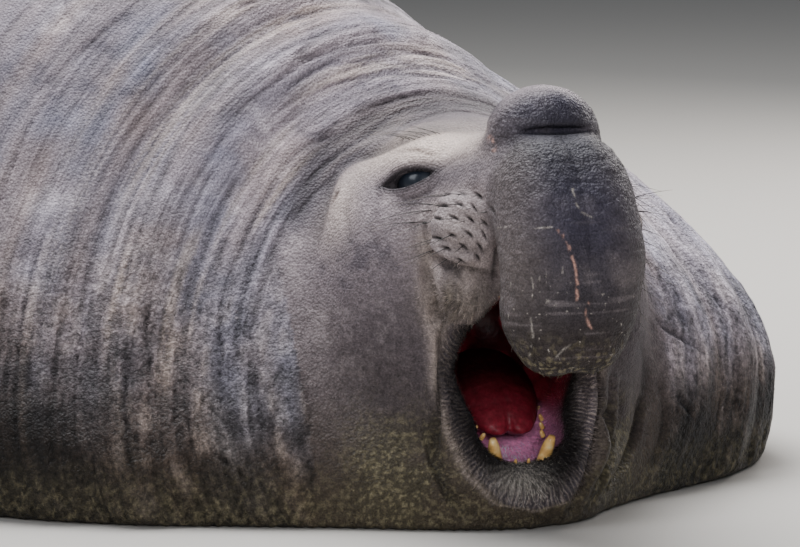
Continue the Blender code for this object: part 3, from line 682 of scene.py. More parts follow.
def pad_place(w):
    a = (w["fu"] - PAD[0]) / PAD[2]
    b = (w["fv"] - PAD[1]) / PAD[3]
    near = (w["q"][:, 1] < 0.05) & (w["t"] < 0.5)
    return a, b, np.where(near, step(1.05, 0.75, np.hypot(a, b)), 0).astype(F) * (1 - w["trunk"])


def relief(p, n):
    """Height of the skin over the smooth form, and how deep in a crease each point lies."""
    w = places(p)
    toward = step(0.02, 0.25, n @ BACK.astype(F))
    t, ring = w["t"], w["ring"]
    h = np.zeros(len(p), F)
    crease = np.zeros(len(p), F)
    body = (1 - w["face"]) * (1 - w["trunk"]) * (1 - w["in"])
    limb = step(3.35, 3.55, p[:, 1]) + step(0.655, 0.70, np.abs(p[:, 0])) * step(0.85, 1.0, p[:, 1])
    limb = np.minimum(limb, 1)
    neck_zone = body * step(1.25, 0.85, t) * (1 - limb)
    trunkless = 1 - w["trunk"]

    # large soft ridges round the head
    wave = fbm(p, 0.22, 2, 3)
    h += neck_zone * step(0.44, 0.52, t) * 0.011 * bump(t - 0.69 - 0.02 * wave, 0.040)
    h -= neck_zone * 0.007 * bump(t - 0.60 - 0.02 * wave, 0.035)
    h += neck_zone * 0.006 * bump(t - 0.84 - 0.03 * wave, 0.040)
    h -= neck_zone * 0.005 * bump(t - 0.77 - 0.03 * wave, 0.025)

    # folds that run round the neck, long and broken only here and there
    warp = t + 0.012 * fbm(ring, (0.12, 0.22, 1), 2, 5)
    for size, amount, seed in ((0.060, 0.0044, 3), (0.034, 0.0042, 1), (0.021, 0.0030, 2)):
        slip = 0.25 * size * noise(ring, (0.08, 0.12, 1), 15 + seed)
        line = 1 - np.abs(np.sin(np.pi * (warp + slip) / size))
        keep = step(-0.5, 0.3, noise(ring, (size * 3.0, 0.20, 1), 20 + seed))
        zone = neck_zone * step(0.455, 0.50, t) * (1 - step(0.72, 1.15, t) * (0.35 if size > 0.03 else 0.9))
        depth = line ** 3 * keep * zone
        h -= amount * (depth - 0.35 * line * keep * zone)
        crease += depth * 0.55
    # cracks: where slow noise passes zero, drawn out along the rings
    for size, long, amount, seed in ((0.060, 0.30, 0.0040, 31), (0.030, 0.16, 0.0022, 32)):
        c = noise(ring, (size, long, 1), seed) + 0.12 * noise(p, 0.045, seed + 5)
        keep = step(-0.1, 0.4, noise(ring, (0.14, 0.22, 1), seed + 9))
        depth = bump(c, 0.10) * keep * neck_zone * step(0.55, 0.66, t)
        h -= amount * depth
        crease += depth * 0.6

    # a net of slanting wrinkles on the flank of the neck
    flank_net = neck_zone * step(0.52, 0.66, t) * step(0.56, 0.40, p[:, 2]) * step(-0.45, 0.25, noise(p, 0.16, 36))
    for sign, size, amount in ((1, 0.044, 0.0036), (-1, 0.050, 0.0034), (0.4, 0.024, 0.0022)):
        slant = t + sign * 0.20 * ring[:, 1] + 0.014 * fbm(p, 0.07, 2, 37)
        line = (1 - np.abs(np.sin(np.pi * slant / size))) ** 5
        depth = line * flank_net * step(-0.3, 0.3, noise(p, 0.055, 38))
        h -= amount * depth
        crease += depth * 0.55
    # the rest of the body: shallow folds across, finer ones low on the sides
    girth = np.stack((p[:, 1], np.arctan2(p[:, 2] - 0.15, p[:, 0]) * 0.5, 0 * p[:, 0]), 1)
    far_zone = body * step(0.85, 1.25, t) * (1 - limb)
    for size, long, amount, seed in ((0.16, 0.75, 0.0050, 41), (0.070, 0.32, 0.0030, 42),
                                     (0.032, 0.14, 0.0015, 43)):
        c = noise(girth, (size, long, 1), seed) + 0.12 * noise(p, size * 0.9, seed + 3)
        depth = bump(c, 0.10) * far_zone * step(-0.3, 0.3, noise(p, 0.35, seed + 6))
        h -= amount * depth
        crease += depth * 0.5
    h += body * 0.0030 * fbm(p, 0.11, 2, 8) * (1 - limb)
    h += body * (0.0010 + 0.0012 * step(0.5, 0.25, p[:, 2])) * fbm(p, 0.024, 2, 9)

    # folds seen in the photograph
    facing = step(-0.15, 0.10, n @ BACK.astype(F))
    for points, wide, deep in NECK_LINES:
        d, along = near_line(w["u"], w["v"] + 2.0 * noise(p, 0.05, 77), points)
        fade = np.sin(np.pi * np.clip(along, 0.02, 0.98)) ** 0.5
        place = facing * trunkless * (1 - w["in"]) * (w["far"] < 1.1)
        depth = bump(d, wide) * fade * place
        h -= deep * depth - deep * 0.35 * bump(d - wide * 2.2, wide) * fade * place
        crease += depth * min(1.0, deep / 0.005)
    side = step(0.34, 0.29, w["q"][:, 1]) * step(0.36, 0.30, w["s"][:, 0])
    for points, wide, deep in FACE_LINES:
        d, along = near_line(w["fu"], w["fv"], points)
        fade = np.sin(np.pi * np.clip(along, 0.03, 0.97)) ** 0.5
        depth = bump(d, wide) * fade * side * trunkless * (1 - w["in"])
        h -= deep * depth
        crease += depth * min(1.0, deep / 0.006)

    for points, wide, tall in FACE_RIDGES:
        d, along = near_line(w["fu"], w["fv"], points)
        h += tall * bump(d, wide) * np.sin(np.pi * np.clip(along, 0.02, 0.98)) * side * trunkless * (1 - w["in"])

    # cheeks: fine pebbling; upper lip and pads: rows of furrows
    face = w["face"] * trunkless * (1 - w["in"])
    h += face * 0.0009 * fbm(p, 0.014, 2, 51)
    a, b, pad = pad_place(w)
    root = pad_roots(w, pad)
    h += pad * 0.0070 * step(1.05, 0.75, np.hypot(a, b)) - 0.0050 * root
    crease += root
    # folds between the rows, deeper low on the pad
    low = step(-0.1, 0.7, b)
    rows = np.sin((b * 3.1 - a * 1.1 + 0.4 * a * a) * np.pi)
    h += pad * (0.0012 + 0.0030 * low) * rows
    h += pad * 0.0008 * noise(w["q"], (0.012, 0.012, 0.005), 58)
    crease += pad * 0.5 * low * step(0.2, -0.9, rows)
    # furrows down the upper lip
    lip = bump(np.hypot((w["fu"] - 462) / 34, (w["fv"] - 304) / 26), 1.0) * face
    h -= lip * 0.0018 * bump(noise(w["q"], (0.006, 0.02, 0.05), 105), 0.22)
    # the band of the lips: fine ribs that run in to the mouth
    band = step(0.0, 0.010, w["lips"]) * (1 - w["in"]) * trunkless
    ribs = np.sin(np.arctan2(w["q"][:, 2] - 0.17, w["q"][:, 0]) * 90 + 3 * noise(p, 0.012, 57))
    h += band * 0.0007 * ribs

    # trunk: fine crackle lying across it, a few long folds
    q = w["q"]
    c = noise(q, (0.055, 0.05, 0.011), 61) + 0.4 * noise(q, (0.016, 0.016, 0.006), 62)
    depth = bump(c, 0.16) * w["trunk"]
    h -= 0.0004 * depth
    crease += 0.14 * depth
    c = noise(q, (0.10, 0.08, 0.030), 63)
    h -= 0.0007 * bump(c, 0.07) * w["trunk"]
    h += w["trunk"] * (0.0016 * fbm(q, 0.05, 2, 64) + 0.0009 * noise(q, (0.010, 0.010, 0.016), 65))

    # lining of the mouth: ridges on the palate, soft lumps on the floor
    ridges = 0.0010 * np.sin(q[:, 1] * 620) * step(0.24, 0.28, q[:, 2]) * step(0.18, 0.13, q[:, 1])
    h += w["in"] * (ridges + 0.0008 * fbm(p, 0.012, 2, 71))
    # flippers: creases over the knuckles
    c = noise(p, (0.05, 0.018, 0.05), 81)
    h -= limb * 0.0012 * bump(c, 0.14)
    crease += limb * 0.3 * bump(c, 0.14)
    # round the eye
    near_eye = step(0.030, 0.004, w["eye"])
    h -= near_eye * 0.0008 * (0.5 + 0.5 * np.sin(w["eye"] * 1400)) * step(0.0, 0.003, w["eye"])
    h *= step(-0.004, 0.004, w["eye"])
    return h, np.clip(crease, 0, 1), w


# colour

HIDE = lin("7b7074")
HIDE_DARK = lin("524b51")
HIDE_PALE = lin("a29698")
BLUISH = lin("777684")
BEIGE = lin("bfaea4")
TRUNK = lin("4d4850")
PURPLE = lin("39374a")
LIP_DARK = lin("231e1d")
LOW = lin("33291f")
RED_DEEP = lin("3c0a10")
RED = lin("8e2434")
PINK = lin("e293bd")
CRIMSON = lin("dc3c5e")
GUM = lin("b4b8cc")
SAND = lin("80775c")
WHITE = lin("c9c0b6")
SCAR = lin("c79a8b")
BLACK_PIGMENT_AND_SHADE = lin("1d1918")

LIGHT_AND_SHADE_PATCHES = [   # painted light and shade in the picture: middle, half width, how much paler
    (225, 80, 42, -0.26), (325, 70, 50, 0.26), (275, 130, 42, 0.12), (228, 180, 40, 0.16),
    (330, 190, 30, 0.18), (20, 20, 60, 0.14), (375, 118, 34, -0.22),
]
SCARS = [   # in the picture: points, half width in pixels, strength
    ([(558, 229), (566, 240), (573, 258), (577, 280), (577, 300)], 1.3, 1.0),
    ([(573, 189), (575, 200), (580, 210)], 0.9, 0.8),
    ([(581, 212), (592, 217)], 0.8, 0.5),
    ([(519, 227), (535, 228), (552, 227)], 0.8, 0.6),
    ([(588, 303), (586, 316), (591, 328)], 1.3, 0.8),
    ([(531, 278), (533, 288), (532, 296)], 0.8, 0.6),
    ([(530, 318), (533, 338), (529, 356)], 1.0, 0.5),
    ([(557, 357), (563, 351), (570, 345)], 0.9, 0.5),
    ([(490, 138), (492, 145), (493, 150)], 2.2, 1.0),
    ([(547, 300), (556, 305)], 1.0, 0.5),
    ([(498, 228), (512, 226)], 0.8, 0.5),
]


def mix(a, b, k):
    return a + (b - a) * np.clip(k, 0, 1)[:, None]


def paint(w, n, crease, below=None):
    """Colour, roughness and depth of grain for each point of the skin."""
    p, q, t = w["p"], w["q"], w["t"]
    u, v = w["u"], w["v"]
    toward = step(0.0, 0.2, n @ BACK.astype(F))
    body = (1 - w["face"]) * (1 - w["trunk"])
    big, mid_, small = fbm(p, 0.30, 3, 101), fbm(p, 0.075, 3, 102), fbm(p, 0.018, 3, 103)
    colour = mix(np.repeat(HIDE[None], len(p), 0), HIDE_DARK, step(0.05, 0.6, 0.55 * mid_ + 0.6 * small) * 0.9)
    colour = mix(colour, HIDE_PALE, step(0.05, 0.6, -0.55 * mid_ + 0.6 * small) * 0.7)
    colour = mix(colour, BLUISH, step(-0.1, 0.5, big + 0.5 * noise(p, 0.05, 104)) * 0.45 * body)
    # painted light and shade: beige highlights on the crests of the folds round the head, the top of the neck lighter,
    # the low sides darker (partly wet hide, partly painted shade)
    colour = mix(colour, BEIGE * 0.80, step(0.35, 0.0, crease) * step(0.0, 0.5, noise(w["ring"], (0.03, 0.22, 1), 106))
                 * step(1.05, 0.7, t) * 0.50 * body)
    colour = colour * (1 + 0.30 * step(0.45, 0.65, p[:, 2]) * step(0.9, 0.5, t) * body)[:, None]
    low = step(0.46, 0.05, p[:, 2] + 0.05 * mid_ + 0.04 * big)
    colour = mix(colour, LOW, low * 0.95)
    # painted shade low on the far side; higher up the far flank is brightened and tinted blue as painted light, the
    # blue partly the hide's own tone
    far_low_shade = step(0.19, 0.07, p[:, 2]) * step(0.05, 0.25, p[:, 0]) * body
    colour = mix(colour, HIDE_DARK * 0.08, far_low_shade * 0.9)
    far_flank_light = step(0.12, 0.22, p[:, 2]) * step(0.10, 0.30, p[:, 0]) * body * step(1.3, 0.9, t)
    far_flank_light *= step(0.62, 0.44, p[:, 2])
    colour = colour * (1 + far_flank_light * (1.0 + 1.1 * step(0.46, 0.32, p[:, 2])))[:, None]
    colour = mix(colour, BLUISH * 1.15, far_flank_light * 0.45)
    # rugged low on the sides: pale ridges and dark grooves that run down, painted light and shade in the colour only
    rugged = step(0.48, 0.26, p[:, 2]) * body * step(2.2, 1.4, t)
    knot_light_and_shade = noise(w["ring"], (0.016, 0.050, 1), 151) + 0.8 * noise(p, (0.022, 0.022, 0.030), 152)
    colour = colour * (1 + rugged * np.clip(0.55 * knot_light_and_shade, -0.45, 0.8))[:, None]
    colour = mix(colour, BEIGE * 0.40, rugged * step(0.3, 0.9, knot_light_and_shade) * 0.35)
    # the near side fades into its own shade at the left of the picture
    shade_left = step(170, -20, u) * step(0.36, 0.10, p[:, 2]) * toward
    colour = colour * (1 - 0.82 * shade_left)[:, None]
    # painted shade: near black where the body meets the ground
    colour = mix(colour, BLACK_PIGMENT_AND_SHADE, step(0.12, 0.0, p[:, 2] + 0.02 * mid_) * 0.55 * body)
    # warm and cool patches, and a few broad patches of painted light and shade seen in the photograph
    hue = np.clip(fbm(p, 0.16, 3, 161) + 0.6 * noise(w["ring"], (0.03, 0.20, 1), 162), -1, 1) * body
    colour = colour * (1 + hue[:, None] * np.array((0.10, 0.01, -0.12), F))
    for u0, v0, wide, more in LIGHT_AND_SHADE_PATCHES:
        light_and_shade_patch = bump(np.hypot(u - u0, v - v0) / wide, 1.0) * toward * body
        colour = colour * (1 + more * light_and_shade_patch)[:, None]
    # painted light: lighter from the middle of the sides up, near the head
    colour = colour * (1 + 0.12 * step(0.30, 0.40, p[:, 2]) * step(1.3, 0.9, t) * body)[:, None]
    # face: brow, lids and the sides of the muzzle
    face = w["face"] * (1 - w["trunk"])
    fu, fv = w["fu"], w["fv"]
    # painted shade low on the cheek
    cheek_painted_shade = bump(np.hypot((fu - 392) / 62, (fv - 360) / 82), 1.0) * step(0.55, 0.45, t)
    colour = mix(colour, HIDE_DARK * 0.55, cheek_painted_shade * (0.62 + 0.2 * mid_))
    # pale brow, partly its own colour, partly a painted highlight on the ridge; painted highlight along the rim of the
    # face
    brow = bump(np.hypot((fu - 420) / 66, (fv - 142) / 19), 1.0) * face
    colour = mix(colour, BEIGE * 1.5, brow * 0.95)
    rim_highlight_d, along = near_line(fu, fv, [(470, 134), (420, 137), (376, 156), (345, 178), (334, 220), (322, 280)])
    colour = mix(colour, BEIGE, bump(rim_highlight_d, 18) * face * 0.62 * step(1.0, 0.7, along))
    # painted shade on the neck just behind the rim of the face
    behind, _ = near_line(fu, fv, [(484, 108), (440, 106), (396, 116), (352, 138), (318, 166), (300, 210)])
    colour = mix(colour, HIDE_DARK * 0.55, bump(behind, 20) * step(0.36, 0.30, np.abs(q[:, 0])) * (1 - w["trunk"]) * 0.9)
    muzzle = bump(np.hypot((fu - 463) / 40, (fv - 232) / 44), 1.0) * face
    colour = mix(colour, BEIGE * 0.80, muzzle * 0.65)
    lip = bump(np.hypot((fu - 462) / 34, (fv - 302) / 26), 1.0) * face
    tan_ = mix(np.repeat(BEIGE[None] * 0.50, len(p), 0), SAND * 0.70, np.full(len(p), 0.5, F))
    furrow = noise(q, (0.006, 0.02, 0.05), 105)
    colour = mix(colour, tan_, lip * (0.70 + 0.25 * furrow))
    # painted shade in the furrows down the upper lip
    colour = mix(colour, HIDE_DARK * 0.4, lip * bump(furrow, 0.22) * 0.6)
    # painted highlight along the ridge beside the whisker pad
    edge_highlight_d, _ = near_line(fu, fv, [(424, 240), (430, 300), (437, 340), (440, 380)])
    colour = mix(colour, BEIGE, bump(edge_highlight_d, 9) * face * 0.5)
    shade, _ = near_line(fu, fv, [(440, 178), (425, 196), (405, 205)])
    colour = mix(colour, HIDE_DARK * 0.75, bump(shade, 8) * face * 0.6)
    nose, _ = near_line(fu, fv, [(455, 172), (470, 165), (486, 158)])
    colour = mix(colour, HIDE_DARK, bump(nose, 16) * face * 0.6)
    # eye: dark lids, a stain under the inner corner
    lid = step(0.011, 0.001, w["eye"])
    colour = mix(colour, BLACK_PIGMENT_AND_SHADE, lid * 0.9)
    colour = mix(colour, HIDE_DARK * 0.7, step(0.022, 0.006, w["eye"]) * 0.5)
    # whisker pads: dark roots in rows
    a, b, pad = pad_place(w)
    colour = mix(colour, HIDE_PALE * 0.75, pad * 0.50)
    colour = mix(colour, BLACK_PIGMENT_AND_SHADE * 0.7, pad_roots(w, pad) * 0.95)
    # trunk
    trunk = w["trunk"]
    tone = mix(np.repeat(TRUNK[None], len(p), 0), HIDE_PALE * 0.85, step(0.0, 0.7, fbm(p, 0.05, 3, 111)))
    tone = tone * 0.46
    tone = mix(tone, LOW * 0.60, step(0.40, 0.27, q[:, 2]) * 0.85)
    tone = mix(tone, HIDE_PALE * 0.7, step(0.35, 0.8, noise(q, (0.05, 0.05, 0.006), 112)) * 0.35)
    tone = mix(tone, PURPLE, step(0.36, 0.50, q[:, 2]) * 0.60)
    tone = mix(tone, BLUISH * 0.11, bump(q[:, 2] - 0.580, 0.055) * step(-0.08, -0.13, q[:, 1]) * 0.85)
    # paler sides of the trunk: partly their own brownish tone, partly painted light
    trunk_side_tone_and_light = step(0.020, 0.105, np.abs(q[:, 0] + 0.01)) * step(0.28, 0.42, q[:, 2])
    tone = mix(tone, BEIGE * 0.42, trunk_side_tone_and_light * np.where(q[:, 0] < 0, 0.50, 0.28))
    dust = step(0.33, 0.25, q[:, 2]) * step(0.15, 0.6, noise(p, 0.0055, 113) + 0.4 * noise(p, 0.02, 114))
    tone = mix(tone, SAND, dust * 0.75)
    colour = mix(colour, tone, trunk)
    front_face = toward * trunk
    for points, wide, power in SCARS:
        d, along = near_line(u + 0.8 * noise(p, 0.006, 115), v, points)
        mark = bump(d, wide) * power * step(-0.5, 0.2, noise(p, 0.007, 116))
        colour = mix(colour, SCAR if wide > 1.2 else WHITE, mark * np.maximum(front_face, toward * (v < 152) * (v > 130)))
    flecks = (noise(p, 0.0045, 117) > 0.80) * front_face * step(0.5, 0.3, q[:, 2])
    colour = mix(colour, WHITE, flecks * 0.55)
    # lips and chin: dark inside the lips, pale hairs in the middle of the chin
    sx, qy, qz = w["s"][:, 0], q[:, 1], q[:, 2]
    band = step(-0.004, 0.012, w["lips"]) * (1 - trunk)
    chin = step(0.120, 0.090, qz) * band
    inner = step(0.013, 0.002, mouth(q)) * (1 - trunk) * (p[:, 1] < 0.5) * step(0.335, 0.315, qz)
    ribs = 0.5 + 0.5 * np.sin(np.arctan2(qz - 0.17, q[:, 0]) * 120 + 4 * noise(p, 0.010, 107))
    close = step(0.036, 0.004, mouth(q))
    colour = mix(colour, HIDE_DARK * 0.62, band * 0.85)
    colour = mix(colour, BEIGE * 0.50, band * ribs ** 3 * 0.7)
    colour = mix(colour, LIP_DARK * 0.65, band * close * 0.95)
    colour = colour * (1 + 1.6 * band * step(0.075, 0.100, q[:, 0]))[:, None]
    colour = mix(colour, LIP_DARK * 0.75, inner * (0.90 + 0.1 * small))
    dark = np.maximum(inner, band)
    colour = mix(colour, BEIGE * 0.62, bump(w["lips"] + 0.005, 0.007) * (1 - trunk) * (0.4 + 0.4 * ribs))
    streak = bump(np.hypot((u - 521) / 25, (v - 480) / 15), 1.0) * toward * chin
    radial = 0.5 + 0.5 * np.sin(np.arctan2(v - 462, u - 524) * 26 + 3 * small)
    colour = mix(colour, WHITE * 0.8, streak * (0.20 + 0.55 * radial))
    # wet lining: dark red above and deep, pink on the floor and the far cheek, the pink brightened past its own colour
    # as painted light
    wet = w["in"]
    lining = mix(np.repeat(RED_DEEP[None], len(p), 0), RED, step(0.20, 0.09, qy + 0.3 * noise(p, 0.03, 121)))
    lining = mix(lining, PINK * 1.9, step(0.165, 0.135, qz) * step(0.17, 0.11, qy))
    cheek = step(0.045, 0.080, q[:, 0]) * step(0.29, 0.21, qz) * step(0.15, 0.08, qy)
    lining = mix(lining, CRIMSON, cheek * (0.80 + 0.3 * small) * step(0.13, 0.17, qz))
    lining = mix(lining, PINK * 1.2, cheek * (0.75 + 0.3 * small) * step(0.18, 0.14, qz))
    lining = mix(lining, GUM, step(0.3, 0.9, noise(p, 0.010, 122)) * step(0.055, 0.04, qy) * step(0.12, 0.10, qz) * 0.8)
    colour = mix(colour, lining, wet)
    # painted shade: creases darker
    colour = colour * (1 - 0.62 * crease * (1 - wet))[:, None]
    # sand dried on the throat and low on the sides
    grains = step(0.0, 0.55, noise(p, 0.0036, 131) + 0.35 * noise(p, 0.008, 132))
    throat = bump(np.hypot((fu - 398) / 48, (fv - 468) / 52), 1.0) * step(0.6, 0.2, np.abs(w["far"]))
    low = step(0.11, 0.015, p[:, 2]) * 0.55
    sand = np.clip(throat * 1.25 * step(-0.75, 0.10, noise(p, 0.035, 133)) + low, 0, 1)
    sand = sand * (1 - wet) * (1 - dark)
    colour = mix(colour, SAND * 0.26, sand * 0.70)
    colour = mix(colour, SAND * 1.1, sand * grains * 0.50)
    # scattered pale scrapes on the neck and chest
    scrape = bump(noise(p, (0.02, 0.05, 0.02), 141), 0.03) * step(0.35, 0.6, noise(p, 0.14, 142)) * body
    colour = mix(colour, HIDE_PALE * 1.2, scrape * 0.35)
    colour = colour * (1 + 0.16 * small + 0.08 * noise(p, 0.006, 143))[:, None]
    rough = 0.56 + 0.10 * mid_ - 0.10 * step(0.2, 0.05, p[:, 2]) - 0.12 * trunk * 0.5
    rough = rough * (1 - lid * 0.35) - 0.10 * dark
    return np.clip(colour, 0.002, 1), np.clip(rough, 0.25, 0.9), np.clip(sand * 1.0, 0, 1)


# making the pieces

def land(ob):
    """Moves a piece to the frame's place and lets it ride."""
    ob.data.transform(Matrix.Translation(SHIFT))
    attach(ob, "root")
    return ob


def build_skin():
    lo, hi = (-1.04, -0.36, -0.03), (1.04, 4.08, 0.86)
    v, t = surface(skin, lo, hi, 0.012)
    v = settle_on(skin, v, 1)
    for level in range(3):
        q = head_frame(v)
        if level == 0:
            want = (v[:, 1] < 1.25) & (v[:, 2] > 0.003)
            want |= (np.abs(v[:, 0]) > 0.66) | (v[:, 1] > 3.45)
        elif level == 1:
            want = (np.abs(q[:, 0]) < 0.25) & (q[:, 1] < 0.33) & (v[:, 2] > 0.003)
        else:
            s = both(q)
            e = to_eye(s)
            want = np.linalg.norm(e, axis=1) < 0.080
            want |= (q[:, 1] < -0.060) & (q[:, 2] > 0.22)
            want |= (q[:, 1] < 0.060) & (np.abs(q[:, 0]) < 0.16) & (q[:, 2] < 0.48) & (q[:, 2] > 0.02)
        v, t = finer(v, t, want)
    v = settle_on(skin, v, 2)
    n = slope(skin, v)
    n /= np.linalg.norm(n, axis=1, keepdims=True) + 1e-9
    h, crease, w = relief(v, n)
    colour, rough, sand = paint(w, n, crease)
    flat = step(0.0005, 0.020, v[:, 2])
    out = v + n * (h * flat)[:, None]
    out[:, 2] = np.maximum(out[:, 2], 0)
    ob = make_mesh("hide", out, t)
    give(ob, "tint", colour, "FLOAT_COLOR")
    give(ob, "rough", rough)
    give(ob, "sand", sand)
    give(ob, "crack", step(0.7, 1.5, w["p"][:, 1]) * (1 - w["in"]))
    give(ob, "ring", w["ring"], "FLOAT_VECTOR")
    near_head = step(0.45, 0.50, w["t"]) * (1 - step(0.80, 1.25, w["t"]) * 0.80)
    give(ob, "ringed", near_head * (1 - w["face"]) * (1 - w["trunk"]) * (1 - w["in"]))
    give(ob, "rugged", step(0.50, 0.25, v[:, 2]) * (1 - w["trunk"]) * (1 - w["in"]) * (1 - 0.55 * w["face"]))
    # the wet lining of the mouth has a finish of its own
    wet = w["in"][t].mean(1) > 0.5
    return ob, (v, t, n, w, colour, crease), wet


def spike(name, rows, sides=12, flat=1.0):
    """A closed tapered form round a line; rows hold x, y, z and radius."""
    b = bmesh.new()
    rings = []
    c = [Vector(r[:3]) for r in rows]
    side = None
    for i, r in enumerate(rows):
        way = (c[min(i + 1, len(c) - 1)] - c[max(i - 1, 0)]).normalized()
        side = way.orthogonal().normalized() if side is None else (side - way * side.dot(way)).normalized()
        other = way.cross(side)
        rings.append([b.verts.new(c[i] + (side * math.cos(a) + other * math.sin(a) * flat) * r[3])
                      for a in (2 * math.pi * k / sides for k in range(sides))])
    for a, z in zip(rings[:-1], rings[1:]):
        for k in range(sides):
            b.faces.new((a[k], a[(k + 1) % sides], z[(k + 1) % sides], z[k]))
    b.faces.new(rings[0][::-1])
    b.faces.new(rings[-1])
    mesh = bpy.data.meshes.new(name)
    b.normal_update()
    b.to_mesh(mesh)
    b.free()
    for f in mesh.polygons:
        f.use_smooth = True
    ob = bpy.data.objects.new(name, mesh)
    bpy.context.scene.collection.objects.link(ob)
    return ob


HEAD_TO_WORLD = (Matrix.Translation((*HEAD_AT, 0)) @ Matrix.Rotation(math.radians(-HEAD_YAW), 4, "Z"))


def join(parts, name):
    bpy.ops.object.select_all(action="DESELECT")
    for ob in parts:
        ob.select_set(True)
    bpy.context.view_layer.objects.active = parts[0]
    bpy.ops.object.join()
    ob = bpy.context.active_object
    ob.name = name
    ob.data.name = name
    return ob


def tooth(where, base, length, tip, way, curl=0.0, steps=8):
    a = Vector(where)
    way = Vector(way).normalized()
    rows = []
    for i in range(steps + 1):
        k = i / steps
        c = a + way * length * (k * 1.35 - 0.35) + Vector((0, curl, 0)) * (k * (1 - k) * 4)
        swell = (1 - k ** 6) ** 0.5 * (1 - 0.12 * k)
        rows.append((*c, max(base * swell if i < steps else tip, tip)))
    return spike("tooth", rows, 14, 0.85)


def build_teeth():
    lower, upper = [], []
    for side in (-1, 1):
        lower.append(tooth((side * 0.038, 0.043, 0.096), 0.0116, 0.032, 0.0055, (side * 0.26, -0.30, 1), 0.002))
        lower.append(tooth((side * 0.010, 0.036, 0.090), 0.0030, 0.005, 0.0015, (0, -0.4, 1)))
        for i in range(6):
            lower.append(tooth((side * (0.047 + 0.0053 * i), 0.080 + 0.018 * i, 0.121 + 0.0090 * i),
                               0.0042 - 0.0002 * i, 0.0080, 0.0018, (-side * 0.55, -0.3, 1)))
        upper.append(tooth((side * 0.028, 0.056, 0.347), 0.0095, 0.016, 0.0040, (side * 0.1, -0.2, -1), -0.002))
        for k in range(2):
            upper.append(tooth((side * (0.007 + 0.012 * k), 0.045, 0.350), 0.005, 0.016, 0.002, (0, -0.2, -1)))
    ob = join(lower + upper, "teeth")
    ob.data.transform(HEAD_TO_WORLD)
    return ob


def tongue_shape(q):
    s = both(q)
    d = ellipsoid(s, (0.018, 0.158, 0.158), (0.036, 0.080, 0.020), (24, 0, 0))
    d = smin(d, ellipsoid(q, (0, 0.19, 0.178), (0.064, 0.085, 0.040), (26, 0, 0)), 0.035)
    groove = ellipsoid(q, (0, 0.082, 0.150), (0.002, 0.014, 0.024), (0, 0, 0))
    return smax(d, -groove, 0.006)


def build_tongue():
    v, t = surface(tongue_shape, (-0.10, 0.0, 0.05), (0.10, 0.32, 0.28), 0.004)
    v = settle_on(tongue_shape, v, 2)
    n = slope(tongue_shape, v)
    n /= np.linalg.norm(n, axis=1, keepdims=True) + 1e-9
    h = 0.0016 * fbm(v, 0.022, 3, 91) - 0.0012 * bump(v[:, 0] + 0.004 * noise(v, 0.03, 92), 0.0035)
    h -= 0.0010 * bump(noise(v, (0.03, 0.012, 0.03), 94), 0.14)
    v = v + n * h[:, None]
    colour = mix(np.repeat(RED[None] * 0.58, len(v), 0), RED_DEEP * 0.45, step(0.10, 0.17, v[:, 1]))
    colour = mix(colour, RED * 0.95, step(0.110, 0.085, v[:, 1]) * 0.60)
    ob = make_mesh("tongue_piece", v, t)
    give(ob, "tint", colour * (1 + 0.15 * fbm(v, 0.01, 2, 93))[:, None], "FLOAT_COLOR")
    ob.data.transform(HEAD_TO_WORLD)
    return ob


def build_eyes():
    out = []
    for side in (-1, 1):
        bpy.ops.mesh.primitive_uv_sphere_add(segments=48, ring_count=32, radius=EYE_R)
        ob = bpy.context.active_object
        axes = Matrix([[float(x) for x in row] for row in EYE_AXES]).transposed()
        # the ball's own pole looks out of the head, the clear front of it a little raised
        for vert in ob.data.vertices:
            k = max(0.0, vert.co.z / EYE_R)
            vert.co *= 1 + 0.035 * max(0.0, (k - 0.86) / 0.14)
        turn = Matrix(((1, 0, 0), (0, 0, 1), (0, 1, 0)))
        m = (axes @ turn).to_4x4()
        m.translation = Vector([float(x) for x in EYE])
        ob.data.transform(m)
        if side > 0:
            ob.data.transform(Matrix.Diagonal((-1, 1, 1, 1)))
        b = bmesh.new()
        b.from_mesh(ob.data)
        bmesh.ops.recalc_face_normals(b, faces=b.faces[:])
        b.to_mesh(ob.data)
        b.free()
        for f in ob.data.polygons:
            f.use_smooth = True
        centre = EYE * np.array((-side if side > 0 else 1, 1, 1))
        co = np.array([vt.co for vt in ob.data.vertices]) - centre
        look = EYE_OUT * np.array((-1 if side > 0 else 1, 1, 1))
        give(ob, "iris", np.arccos(np.clip((co @ look) / np.linalg.norm(co, axis=1), -1, 1)))
        ob.name = "eyeball_left" if side > 0 else "eyeball_right"
        ob.data.name = ob.name
        ob.data.transform(HEAD_TO_WORLD)
        out.append(ob)
    return out


# hairs: thin closed blades rooted in the skin

